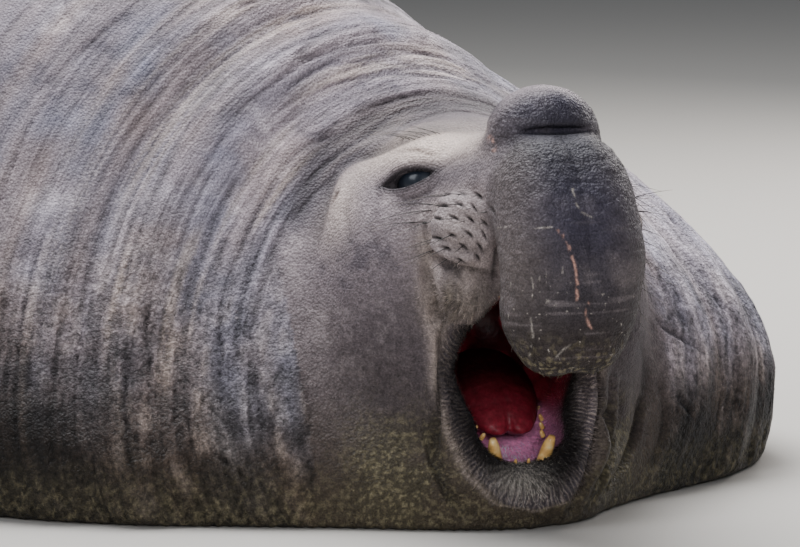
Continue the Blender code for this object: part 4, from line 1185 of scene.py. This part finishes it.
def blades(name, root, way, normal, length, width, colour, lift, bend, seed, unwrap, bent=False):
    """One joined mesh of three-sided tapering hairs that lie over the skin."""
    rng = np.random.default_rng(seed)
    k = len(root)
    way = way - normal * (way * normal).sum(1, keepdims=True)
    way /= np.linalg.norm(way, axis=1, keepdims=True) + 1e-9
    across = np.cross(normal, way)
    spread = rng.normal(0, 0.22, (k, 1))
    way = way + across * spread
    way /= np.linalg.norm(way, axis=1, keepdims=True)
    across = np.cross(normal, way)
    lift = np.asarray(lift).reshape(-1, 1) * (1 + rng.normal(0, 0.25, (k, 1)))
    length = (length * (1 + rng.normal(0, 0.2, k)))[:, None]
    width = np.broadcast_to(np.asarray(width).reshape(-1, 1), (k, 1))
    mid = root + (way * 0.55 + normal * lift * 0.8) * length
    tip = root + (way * (1 - 0.15 * bend) + normal * lift * (1 - bend)) * length
    base = root - normal * 0.0008
    thick = normal * 0.5 + way * 0.1
    i = np.arange(k)
    if bent:
        v = np.concatenate([
            base - across * width, base + across * width, base + thick * width * 1.2,
            mid - across * width * 0.7, mid + across * width * 0.7, mid + thick * width * 0.9, tip])
        a, b, c, d, e, f, g = [i + k * j for j in range(7)]
        faces = ((a, c, b), (a, b, e), (a, e, d), (b, c, f), (b, f, e), (c, a, d), (c, d, f),
                 (d, e, g), (e, f, g), (f, d, g))
        corner = np.array(((0, 0), (1, 0), (0.5, 0.3), (0.1, 0.6), (0.9, 0.6), (0.5, 0.7), (0.5, 1.0))) * 0.003
    else:
        v = np.concatenate([base - across * width, base + across * width, base + thick * width * 1.2, tip])
        a, b, c, g = [i + k * j for j in range(4)]
        faces = ((a, c, b), (a, b, g), (b, c, g), (c, a, g))
        corner = np.array(((0, 0), (1, 0), (0.5, 0.3), (0.5, 1.0))) * 0.003
    t = np.concatenate([np.stack(x, 1) for x in faces])
    v[:, 2] = np.maximum(v[:, 2], 0.0002)
    ob = make_mesh(name, v.astype(F), t, smooth=False)
    give(ob, "tint", np.tile(colour, (len(corner), 1)), "FLOAT_COLOR")
    # a small patch of the unwrap for each hair
    uv = ob.data.uv_layers.new(name="OFBake")
    spots = (unwrap[None] + corner[:, None]).reshape(-1, 2)
    index = np.empty(len(ob.data.loops), np.int32)
    ob.data.loops.foreach_get("vertex_index", index)
    uv.data.foreach_set("uv", spots[index].astype(F).ravel())
    return ob


def unwrap_of(p):
    """An unwrap of the skin's own shape: round the body and along it, the head beside it."""
    q = head_frame(p)
    on_head = (p[:, 1] < 0.45) & (np.abs(q[:, 0]) < 0.3) & (q[:, 1] < 0.33)
    round_body = np.arctan2(p[:, 0], p[:, 2] - 0.2) / (2 * np.pi) + 0.5
    body = np.stack((0.02 + 0.44 * round_body, 0.02 + 0.95 * (p[:, 1] + 0.4) / 4.6), 1)
    up = np.arctan2(q[:, 0], q[:, 2] - 0.3) / (2 * np.pi) + 0.5
    head_ = np.stack((0.52 + 0.44 * up, 0.02 + 0.95 * (q[:, 1] + 0.3) / 0.7), 1)
    return np.where(on_head[:, None], head_, body)


def lie_of(p, n):
    """The way the coat lies: back from the nose, down the sides."""
    q = head_frame(p)
    a = math.radians(HEAD_YAW)
    back = np.array((math.sin(a), math.cos(a), 0.0), F)
    way = np.repeat(back[None], len(p), 0)
    way[:, 2] -= 0.35
    way[p[:, 1] > 0.6] = np.array((0, 1, -0.25), F)
    nose = (q[:, 1] < -0.06)
    way[nose] = np.array((0, 0.15, -1), F)
    return way


def scatter(skin_data, weight, count, seed):
    """Random points on the skin, more where the weight is more."""
    v, t, n, w, colour, crease = skin_data
    rng = np.random.default_rng(seed)
    area = np.linalg.norm(np.cross(v[t[:, 1]] - v[t[:, 0]], v[t[:, 2]] - v[t[:, 0]]), axis=1)
    chance = area * weight[t].mean(1)
    chance = chance / chance.sum()
    pick = rng.choice(len(t), count, p=chance)
    r = rng.random((count, 2))
    r[r.sum(1) > 1] = 1 - r[r.sum(1) > 1]
    k = np.stack((1 - r.sum(1), r[:, 0], r[:, 1]), 1)
    return pick, k, rng


def at(values, t, pick, k):
    return (values[t[pick]] * k[..., None]).sum(1) if values.ndim > 1 else (values[t[pick]] * k).sum(1)


def coats(skin_ob, data):
    """Tufts of short fur where it breaks the form, all round the animal."""
    v, t, n, w, colour, crease = data
    co = np.empty(len(skin_ob.data.vertices) * 3, F)
    skin_ob.data.vertices.foreach_get("co", co)
    shown = co.reshape(-1, 3)
    dry = (1 - w["in"]) * step(0.004, 0.02, v[:, 2]) * step(0.0, 0.004, w["eye"])
    q, s, fu, fv = w["q"], w["s"], w["fu"], w["fv"]
    face = w["face"] * (1 - w["trunk"]) * dry
    lip = bump(np.hypot((fu - 462) / 34, (fv - 306) / 26), 1.0) * face
    band = step(-0.012, 0.004, w["lips"]) * (1 - w["trunk"]) * dry
    inner = step(0.020, 0.004, mouth(q)) * dry * p_front(v) * (1 - w["trunk"])
    trunk = w["trunk"] * dry
    many = 1.0
    plans = [
        ("coat_lips", 4.0 * lip + 4.0 * band + 3.0 * inner, 13000, 0.0095, 0.00045, 0.35, 0.3, 301),
        ("coat_face", face * (1.6 - lip - 0.8 * band), 34000, 0.0055, 0.00050, 0.25, 0.5, 302),
        ("coat_trunk", trunk, 34000, 0.0050, 0.00050, 0.26, 0.4, 303),
        ("coat_neck", dry * (1 - w["face"]) * (1 - w["trunk"]) * step(1.2, 0.9, v[:, 1]), 40000, 0.0065, 0.0008, 0.20,
         0.6, 304),
        ("coat_chest", dry * step(0.9, 1.2, v[:, 1]) * step(2.2, 2.0, v[:, 1]), 34000, 0.0075, 0.0010, 0.20, 0.6, 305),
        ("coat_rear", dry * step(2.0, 2.2, v[:, 1]), 30000, 0.0075, 0.0010, 0.20, 0.6, 306),
    ]
    out = []
    for name, weight, count, length, width, lift, bend, seed in plans:
        count = int(count * many)
        pick, k, rng = scatter(data, np.maximum(weight, 0).astype(float) + 1e-9, count, seed)
        root = at(shown, t, pick, k)
        normal = at(n, t, pick, k)
        normal /= np.linalg.norm(normal, axis=1, keepdims=True) + 1e-9
        shade = at(colour, t, pick, k) * (0.85 + 0.35 * rng.random((count, 1)))
        way = lie_of(root, normal)
        size = np.full(count, length)
        if name == "coat_lips":
            # bristles fan out from the mouth
            centre = np.array([[0.0, 0.05, 0.19]], F)
            q_root = head_frame(root)
            fan = from_head(q_root) - from_head(np.repeat(centre, count, 0))
            low = (q_root[:, 2] < 0.24)[:, None]
            way = np.where(low, fan / np.linalg.norm(fan, axis=1, keepdims=True), way)
            middle = bump(q_root[:, 0] + 0.006, 0.036) * step(0.105, 0.088, q_root[:, 2]) * step(0.026, 0.050, q_root[:, 2])
            size = size * (1 - 0.5 * step(0.060, 0.035, q_root[:, 2]))
            pale = rng.random(count) < 0.10 + 0.55 * middle
            shade[pale] = np.maximum(shade[pale] * 2.0, WHITE * (0.20 + 0.75 * middle[pale, None]))
        ob = blades(name, root, way, normal, size, width, np.clip(shade, 0.003, 0.8), lift,
                    bend, seed + 50, unwrap_of(root), name == "coat_lips")
        out.append(ob)
    return out


def p_front(p):
    return (p[:, 1] < 0.4).astype(F)


def whisker(points, radius, sides=5):
    rows = []
    n = len(points)
    for i, c in enumerate(points):
        rows.append((*c, radius * (1 - i / (n - 0.7)) + 0.00012))
    return rows


def build_whiskers(skin_ob, data):
    """Long hairs on the pads, over the eyes and at the side of the trunk."""
    v, t, n, w, colour, crease = data
    rng = np.random.default_rng(11)
    co = np.empty(len(skin_ob.data.vertices) * 3, F)
    skin_ob.data.vertices.foreach_get("co", co)
    shown = co.reshape(-1, 3)
    rows = []
    spots = []
    for u0, v0, r, c in pad_spots():
        length = (0.016, 0.020, 0.045, 0.075, 0.090)[c] * (0.75 + 0.5 * rng.random())
        spots.append((u0, v0, length, 0.0007, (1.0, 0.45, 0.02 - 0.13 * r + rng.normal(0, 0.08))))
        if c > 2:
            spots.append((u0 + rng.normal(0, 2), v0 + rng.normal(0, 2), length * 0.8, 0.0004,
                          (1.0, 0.5, -0.05 - 0.13 * r + rng.normal(0, 0.12))))
    for k in range(8):
        spots.append((402 + k * 6.0, 135 - 0.6 * k + rng.normal(0, 1.2), 0.050 + 0.025 * rng.random(), 0.0004,
                      (1.0, 0.55, 0.12 + rng.normal(0, 0.05))))
    face = (w["q"][:, 1] < 0.30) & (w["face"] > 0.3) & (w["in"] < 0.2) & (w["trunk"] < 0.6)
    for side in (-1, 1):
        pool = np.nonzero(face & (w["q"][:, 0] * side > 0) & (w["fv"] < 300))[0]
        outside = (n[pool] @ (BACK * 1.0) > -0.2) if side < 0 else np.ones(len(pool), bool)
        pool = pool[outside]
        for u0, v0, length, radius, lean in spots:
            d = np.hypot(w["fu"][pool] - u0, w["fv"][pool] - v0) + 2000 * np.maximum(0, w["q"][pool, 1] - 0.24)
            i = pool[np.argmin(d)]
            if d.min() > 5:
                continue
            root = shown[i].astype(float)
            nn = n[i].astype(float)
            q_way = np.array((side * lean[0], lean[1], lean[2]))
            way = from_head(np.array([q_way], F))[0] - from_head(np.zeros((1, 3), F))[0]
            way = way / np.linalg.norm(way) + nn * (0.5 if v0 > 150 else 0.2)
            way /= np.linalg.norm(way)
            droop = np.array((0, 0, -1.0)) * (0.15 + 0.3 * rng.random())
            pts = [root - nn * 0.002]
            for k in range(1, 8):
                x = k / 7
                pts.append(root + way * length * x + droop * length * x * x * 0.5)
            rows.append(whisker(pts, radius))
    # a few short curled hairs down the left side of the trunk
    pool = np.nonzero((w["trunk"] > 0.8) & (w["q"][:, 0] > 0.085))[0]
    for k in range(16):
        z0 = 0.30 + 0.22 * rng.random()
        d = np.abs(w["q"][pool, 2] - z0) + np.abs(w["q"][pool, 1] + 0.17)
        i = pool[np.argmin(d)]
        root, nn = shown[i].astype(float), n[i].astype(float)
        length = 0.015 + 0.04 * rng.random()
        side_way = RIGHT * 0.5 + np.array((0, 0, -1.0)) * (0.4 + rng.random()) + nn * 0.5
        side_way /= np.linalg.norm(side_way)
        curl = RIGHT * rng.normal(0, 0.6)
        pts = [root - nn * 0.002] + [root + side_way * length * x / 6 + curl * length * 0.6 * (x / 6) ** 2
                                     for x in range(1, 7)]
        rows.append(whisker(pts, 0.0004))
    vs, ts, uvs, cs = [], [], [], []
    base = 0
    sides = 5
    for row in rows:
        c = np.array([r[:3] for r in row])
        rad = np.array([r[3] for r in row])
        way = np.gradient(c, axis=0)
        way /= np.linalg.norm(way, axis=1, keepdims=True)
        ref = np.cross(way, (0.3, 0.2, 0.93))
        ref /= np.linalg.norm(ref, axis=1, keepdims=True)
        oth = np.cross(way, ref)
        m = len(c)
        ang = 2 * np.pi * np.arange(sides) / sides
        ring = (c[:, None] + rad[:, None, None] * (np.cos(ang)[None, :, None] * ref[:, None]
                                                    + np.sin(ang)[None, :, None] * oth[:, None]))
        vs.append(ring.reshape(-1, 3))
        i = np.arange(m - 1)[:, None] * sides + np.arange(sides)[None]
        j = np.arange(m - 1)[:, None] * sides + (np.arange(sides)[None] + 1) % sides
        tri = np.concatenate((np.stack((i, j, j + sides), -1).reshape(-1, 3),
                              np.stack((i, j + sides, i + sides), -1).reshape(-1, 3)))
        caps = [(0, k + 1, k) for k in range(1, sides - 1)]
        last = (m - 1) * sides
        caps += [(last, last + k, last + k + 1) for k in range(1, sides - 1)]
        ts.append(np.concatenate((tri, np.array(caps))) + base)
        base += m * sides
        uvs.append(np.repeat(unwrap_of(c[:1].astype(F)), m * sides, 0)
                   + np.tile(np.stack((np.cos(ang), np.sin(ang)), 1) * 0.0015, (m, 1)))
        cs.append(np.repeat(np.linspace(0.012, 0.20, m) ** 1.0, sides))
    ob = make_mesh("whiskers", np.concatenate(vs), np.concatenate(ts))
    give(ob, "pale", np.concatenate(cs))
    uv = ob.data.uv_layers.new(name="OFBake")
    index = np.empty(len(ob.data.loops), np.int32)
    ob.data.loops.foreach_get("vertex_index", index)
    uv.data.foreach_set("uv", np.concatenate(uvs)[index].astype(F).ravel())
    return ob


def build_claws():
    rows = []
    base, across, forth, up_, lengths, spread, r0, r1, thick = FORE
    m = [Vector(x).normalized() for x in (across, forth, up_)]
    parts = []
    for side in (-1, 1):
        for i, length in enumerate(lengths):
            a = math.radians(spread[0] + (spread[1] - spread[0]) * i / 4)
            x0 = (i - 2) * r0 * 1.15
            way = m[0] * math.sin(a) + m[1] * math.cos(a)
            start = Vector(base) + m[0] * x0 + way * (length - 0.010) + m[2] * 0.004
            line = []
            for k in range(9):
                x = k / 8
                c = start + way * 0.048 * x + Vector((0, 0, 0.006 * math.sin(math.pi * x) - 0.004 * x))
                line.append((side * c.x, c.y, max(c.z, 0.008), 0.0078 * (1 - x) ** 0.6 + 0.0012))
            parts.append(spike("claw", line, 12, 0.8))
    ob = join(parts, "claws")
    return ob


# materials

def new_material(name):
    mat = bpy.data.materials.new(name)
    mat.use_nodes = True
    return mat, mat.node_tree.nodes, mat.node_tree.links, mat.node_tree.nodes["Principled BSDF"]


def attribute(nodes, name):
    a = nodes.new("ShaderNodeAttribute")
    a.attribute_name = name
    return a


def texture(nodes, links, kind, scale, where, **more):
    tex = nodes.new(kind)
    tex.inputs["Scale"].default_value = scale
    for key, value in more.items():
        if key in ("feature", "distance"):
            setattr(tex, key, value)
        else:
            tex.inputs[key.capitalize()].default_value = value
    links.new(where, tex.inputs["Vector"])
    return tex


def stretched(nodes, links, source, size):
    m = nodes.new("ShaderNodeMapping")
    m.inputs["Scale"].default_value = size
    links.new(source, m.inputs["Vector"])
    return m.outputs[0]


def maths(nodes, links, how, a, b):
    m = nodes.new("ShaderNodeMath")
    m.operation = how
    for i, x in enumerate((a, b)):
        if isinstance(x, (int, float)):
            m.inputs[i].default_value = x
        else:
            links.new(x, m.inputs[i])
    return m.outputs[0]


def tinted(nodes, links, shader, colour, value, low, high):
    """Colour times a range driven by a texture."""
    span = nodes.new("ShaderNodeMapRange")
    span.inputs["From Min"].default_value = 0.3
    span.inputs["From Max"].default_value = 0.7
    span.inputs["To Min"].default_value = low
    span.inputs["To Max"].default_value = high
    links.new(value, span.inputs["Value"])
    mul = nodes.new("ShaderNodeVectorMath")
    mul.operation = "SCALE"
    links.new(colour, mul.inputs[0])
    links.new(span.outputs[0], mul.inputs["Scale"])
    return mul.outputs[0]


def hide_material():
    mat, nodes, links, shader = new_material("hide")
    co = nodes.new("ShaderNodeTexCoord").outputs["Object"]
    tint = attribute(nodes, "tint").outputs["Color"]
    ring = attribute(nodes, "ring").outputs["Vector"]
    crack = attribute(nodes, "crack").outputs["Fac"]
    ringed = attribute(nodes, "ringed").outputs["Fac"]
    grit = attribute(nodes, "sand").outputs["Fac"]
    rugged = attribute(nodes, "rugged").outputs["Fac"]
    clump = texture(nodes, links, "ShaderNodeTexNoise", 120, co, detail=4.0, roughness=0.6)
    fine = texture(nodes, links, "ShaderNodeTexNoise", 360, co, detail=3.0, roughness=0.6)
    grain = texture(nodes, links, "ShaderNodeTexVoronoi", 230, co)
    fur = texture(nodes, links, "ShaderNodeTexNoise", 1.0, stretched(nodes, links, co, (620, 190, 400)), detail=3.0)
    folds = texture(nodes, links, "ShaderNodeTexNoise", 1.0, stretched(nodes, links, ring, (95, 9, 1)), detail=5.0)
    cells = texture(nodes, links, "ShaderNodeTexVoronoi", 1.0, stretched(nodes, links, co, (105, 70, 85)),
                    feature="DISTANCE_TO_EDGE")
    edge = nodes.new("ShaderNodeMapRange")
    edge.inputs["From Max"].default_value = 0.16
    links.new(cells.outputs["Distance"], edge.inputs["Value"])
    # colour follows the relief: grain and fur tones partly their own, partly painted glints; the folds round the head
    # and the lumps low on the sides lighter on their crests and darker in their hollows, painted light and shade
    colour = tinted(nodes, links, shader, tint, fine.outputs["Fac"], 0.72, 1.30)
    colour = tinted(nodes, links, shader, colour, fur.outputs["Fac"], 0.74, 1.28)
    rugged_light_and_shade = maths(nodes, links, "MULTIPLY", maths(nodes, links, "SUBTRACT", clump.outputs["Fac"], 0.5), rugged)
    colour = tinted(nodes, links, shader, colour, maths(nodes, links, "ADD", rugged_light_and_shade, 0.5), 0.35, 1.75)
    streak = maths(nodes, links, "MULTIPLY", maths(nodes, links, "SUBTRACT", folds.outputs["Fac"], 0.5), ringed)
    colour = tinted(nodes, links, shader, colour, maths(nodes, links, "ADD", streak, 0.5), 0.56, 1.46)
    links.new(colour, shader.inputs["Base Color"])
    rough = attribute(nodes, "rough").outputs["Fac"]
    vary = maths(nodes, links, "MULTIPLY_ADD", fine.outputs["Fac"], 0.22)
    vary.node.inputs[2].default_value = -0.11
    links.new(maths(nodes, links, "ADD", rough, vary), shader.inputs["Roughness"])
    shader.inputs["Specular IOR Level"].default_value = 0.16
    shader.inputs["Sheen Weight"].default_value = 0.05
    shader.inputs["Sheen Roughness"].default_value = 0.45
    shader.inputs["Sheen Tint"].default_value = (0.80, 0.86, 1.0, 1)
    # relief finer than the mesh: creases, cells, hair, grit
    height = maths(nodes, links, "MULTIPLY", maths(nodes, links, "MULTIPLY", folds.outputs["Fac"], 0.0050), ringed)
    cell = maths(nodes, links, "MULTIPLY", maths(nodes, links, "MULTIPLY", edge.outputs[0], 0.0005), crack)
    height = maths(nodes, links, "ADD", height, cell)
    height = maths(nodes, links, "ADD", height, maths(nodes, links, "MULTIPLY", grain.outputs["Distance"], -0.0022))
    height = maths(nodes, links, "ADD", height, maths(nodes, links, "MULTIPLY", fine.outputs["Fac"], 0.0014))
    height = maths(nodes, links, "ADD", height, maths(nodes, links, "MULTIPLY", fur.outputs["Fac"], 0.0012))
    sand = texture(nodes, links, "ShaderNodeTexVoronoi", 420, co)
    sand_h = maths(nodes, links, "MULTIPLY", maths(nodes, links, "MULTIPLY", sand.outputs["Distance"], -0.0014), grit)
    height = maths(nodes, links, "ADD", height, sand_h)
    clump_h = maths(nodes, links, "MULTIPLY", maths(nodes, links, "MULTIPLY", clump.outputs["Fac"], 0.0050), rugged)
    height = maths(nodes, links, "ADD", height, clump_h)
    b = nodes.new("ShaderNodeBump")
    b.inputs["Strength"].default_value = 0.85
    b.inputs["Distance"].default_value = 1.0
    links.new(height, b.inputs["Height"])
    links.new(b.outputs[0], shader.inputs["Normal"])
    return mat


def wet_material(name, rough=0.38, coat=0.10):
    mat, nodes, links, shader = new_material(name)
    co = nodes.new("ShaderNodeTexCoord").outputs["Object"]
    tint = attribute(nodes, "tint").outputs["Color"]
    fine = texture(nodes, links, "ShaderNodeTexNoise", 220, co, detail=4.0)
    folds = texture(nodes, links, "ShaderNodeTexNoise", 70, co, detail=3.0)
    colour = tinted(nodes, links, shader, tint, fine.outputs["Fac"], 0.75, 1.25)
    colour = tinted(nodes, links, shader, colour, folds.outputs["Fac"], 0.80, 1.20)
    links.new(colour, shader.inputs["Base Color"])
    shader.inputs["Roughness"].default_value = rough
    shader.inputs["Specular IOR Level"].default_value = 0.25
    shader.inputs["Coat Weight"].default_value = coat
    shader.inputs["Coat Roughness"].default_value = 0.18
    height = maths(nodes, links, "ADD", maths(nodes, links, "MULTIPLY", fine.outputs["Fac"], 0.0008),
                   maths(nodes, links, "MULTIPLY", folds.outputs["Fac"], 0.0020))
    b = nodes.new("ShaderNodeBump")
    b.inputs["Strength"].default_value = 0.7
    b.inputs["Distance"].default_value = 1.0
    links.new(height, b.inputs["Height"])
    links.new(b.outputs[0], shader.inputs["Normal"])
    return mat


def ramp(nodes, links, value, stops):
    r = nodes.new("ShaderNodeValToRGB")
    r.color_ramp.elements[0].position = stops[0][0]
    r.color_ramp.elements[0].color = (*stops[0][1], 1)
    r.color_ramp.elements[1].position = stops[-1][0]
    r.color_ramp.elements[1].color = (*stops[-1][1], 1)
    for place, colour in stops[1:-1]:
        e = r.color_ramp.elements.new(place)
        e.color = (*colour, 1)
    links.new(value, r.inputs["Fac"])
    return r.outputs["Color"]


def eye_material():
    mat, nodes, links, shader = new_material("eye")
    iris = attribute(nodes, "iris").outputs["Fac"]
    co = nodes.new("ShaderNodeTexCoord").outputs["Object"]
    streak = texture(nodes, links, "ShaderNodeTexNoise", 420, co, detail=3.0)
    wave = maths(nodes, links, "MULTIPLY_ADD", streak.outputs["Fac"], 0.10)
    wave.node.inputs[2].default_value = -0.05
    value = maths(nodes, links, "ADD", iris, wave)
    # dark blue-grey ball: partly its own dark colour, partly a painted bluish reflection
    dark, brown, white = (0.012, 0.018, 0.030), (0.022, 0.028, 0.042), (0.05, 0.04, 0.04)
    links.new(ramp(nodes, links, value, [(0.0, dark), (0.36, dark), (0.42, brown), (0.62, brown),
                                         (0.70, dark), (0.95, white)]), shader.inputs["Base Color"])
    shader.inputs["Roughness"].default_value = 0.30
    shader.inputs["Coat Weight"].default_value = 0.8
    shader.inputs["Coat Roughness"].default_value = 0.14
    return mat


def tooth_material():
    mat, nodes, links, shader = new_material("tooth")
    co = nodes.new("ShaderNodeTexCoord").outputs["Object"]
    stain = texture(nodes, links, "ShaderNodeTexNoise", 90, co, detail=5.0)
    fine = texture(nodes, links, "ShaderNodeTexNoise", 600, co, detail=2.0)
    links.new(ramp(nodes, links, stain.outputs["Fac"], [
        (0.25, tuple(lin("c08d4a"))), (0.50, tuple(lin("e8b96e"))), (0.75, tuple(lin("f6dca6")))]),
        shader.inputs["Base Color"])
    shader.inputs["Roughness"].default_value = 0.32
    shader.inputs["Coat Weight"].default_value = 0.3
    b = nodes.new("ShaderNodeBump")
    b.inputs["Distance"].default_value = 1.0
    b.inputs["Strength"].default_value = 0.5
    links.new(maths(nodes, links, "MULTIPLY", fine.outputs["Fac"], 0.0004), b.inputs["Height"])
    links.new(b.outputs[0], shader.inputs["Normal"])
    return mat


def claw_material():
    mat, nodes, links, shader = new_material("claw")
    co = nodes.new("ShaderNodeTexCoord").outputs["Object"]
    grain = texture(nodes, links, "ShaderNodeTexNoise", 1.0, stretched(nodes, links, co, (400, 60, 400)), detail=3.0)
    links.new(ramp(nodes, links, grain.outputs["Fac"], [
        (0.3, tuple(lin("26211e"))), (0.7, tuple(lin("4a3f36")))]), shader.inputs["Base Color"])
    shader.inputs["Roughness"].default_value = 0.38
    return mat


def fur_material():
    mat, nodes, links, shader = new_material("fur")
    co = nodes.new("ShaderNodeTexCoord").outputs["Object"]
    tint = attribute(nodes, "tint").outputs["Color"]
    fine = texture(nodes, links, "ShaderNodeTexNoise", 300, co, detail=2.0)
    links.new(tinted(nodes, links, shader, tint, fine.outputs["Fac"], 0.8, 1.25), shader.inputs["Base Color"])
    shader.inputs["Roughness"].default_value = 0.62
    shader.inputs["Specular IOR Level"].default_value = 0.15
    return mat


def whisker_material():
    mat, nodes, links, shader = new_material("whisker")
    pale = attribute(nodes, "pale").outputs["Fac"]
    links.new(ramp(nodes, links, pale, [(0.0, tuple(lin("171413"))), (0.12, tuple(lin("2b2522"))),
                                        (0.20, tuple(lin("8d8074")))]), shader.inputs["Base Color"])
    shader.inputs["Roughness"].default_value = 0.35
    return mat


# lights, floor, camera

def area(name, where, to, size, power, colour):
    light = bpy.data.lights.new(name, "AREA")
    light.shape = "RECTANGLE"
    light.size, light.size_y = size
    light.energy = power
    light.color = colour
    ob = bpy.data.objects.new(name, light)
    ob.location = Vector(where) + Vector(SHIFT)
    ob.rotation_euler = (Vector(to) - Vector(where)).to_track_quat("-Z", "Y").to_euler()
    ob.visible_camera = False
    bpy.context.scene.collection.objects.link(ob)


def stage():
    bpy.ops.mesh.primitive_plane_add(size=60, location=(0, 0, -0.0005))
    floor = bpy.context.active_object
    floor.name = "floor"
    mat, nodes, links, shader = new_material("floor")
    shader.inputs["Base Color"].default_value = (*lin("b3afa9"), 1)
    shader.inputs["Roughness"].default_value = 0.85
    floor.data.materials.append(mat)
    world = bpy.data.worlds.new("studio")
    bpy.context.scene.world = world
    world.use_nodes = True
    world.node_tree.nodes["Background"].inputs[0].default_value = (0.80, 0.88, 1.0, 1)
    world.node_tree.nodes["Background"].inputs[1].default_value = 0.15
    b, r = Vector(BACK), Vector(RIGHT)
    head_at = Vector((0.0, 0.35, 0.3))
    area("overhead", head_at - b * 1.6 + Vector((0, 0, 4.6)) - r * 0.9, head_at, (4.0, 3.2), 640, (0.97, 0.98, 1.0))
    area("behind", head_at - b * 4.0 + r * 2.5 + Vector((0, 0, 2.6)), head_at, (3.0, 2.0), 170, (1.0, 0.95, 0.92))
    area("front", head_at + b * 5.5 + r * 0.5 + Vector((0, 0, 0.9)), head_at, (2.4, 1.6), 130, (0.96, 0.97, 1.0))
    area("side", head_at + b * 2.0 - r * 4.5 + Vector((0, 0, 3.2)), head_at, (3.0, 3.0), 70, (0.90, 0.94, 1.0))


def camera():
    cam = bpy.data.objects.new("camera", bpy.data.cameras.new("camera"))
    bpy.context.scene.collection.objects.link(cam)
    bpy.context.scene.camera = cam
    cam.data.sensor_width = 36
    cam.data.lens = 36 * CAM_FAR / (800 * PIXEL)
    back = Vector(BACK)
    cam.location = Vector(AIM + SHIFT) + back * CAM_FAR
    cam.rotation_mode = "QUATERNION"
    cam.rotation_quaternion = (-back).to_track_quat("-Z", "Y")
    cam.data.clip_end = 100


camera()
stage()

hide, hide_data, wet = build_skin()
lips_wet = wet_material("mouth_lining")
hide.data.materials.append(hide_material())
hide.data.materials.append(lips_wet)
hide.data.polygons.foreach_set("material_index", wet.astype(np.int32))
hide.data.update()

fur = fur_material()
for piece in coats(hide, hide_data):
    piece.data.materials.append(fur)
    land(piece)
hairs = build_whiskers(hide, hide_data)
hairs.data.materials.append(whisker_material())
land(hairs)
land(hide)
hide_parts("head", "proboscis", "lower_jaw", "neck", "chest", "abdomen", "hindquarters", "tail",
            "fore_flipper_left", "fore_flipper_right", "hind_flipper_left", "hind_flipper_right")

teeth = build_teeth()
teeth.data.materials.append(tooth_material())
land(teeth)
tongue_piece = build_tongue()
tongue_piece.data.materials.append(wet_material("tongue", 0.50, 0.08))
land(tongue_piece)
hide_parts("tongue")
eye_look = eye_material()
for ball_ in build_eyes():
    ball_.data.materials.append(eye_look)
    land(ball_)
    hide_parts(ball_.name.replace("eyeball", "eye"))
claws = build_claws()
claws.data.materials.append(claw_material())
land(claws)
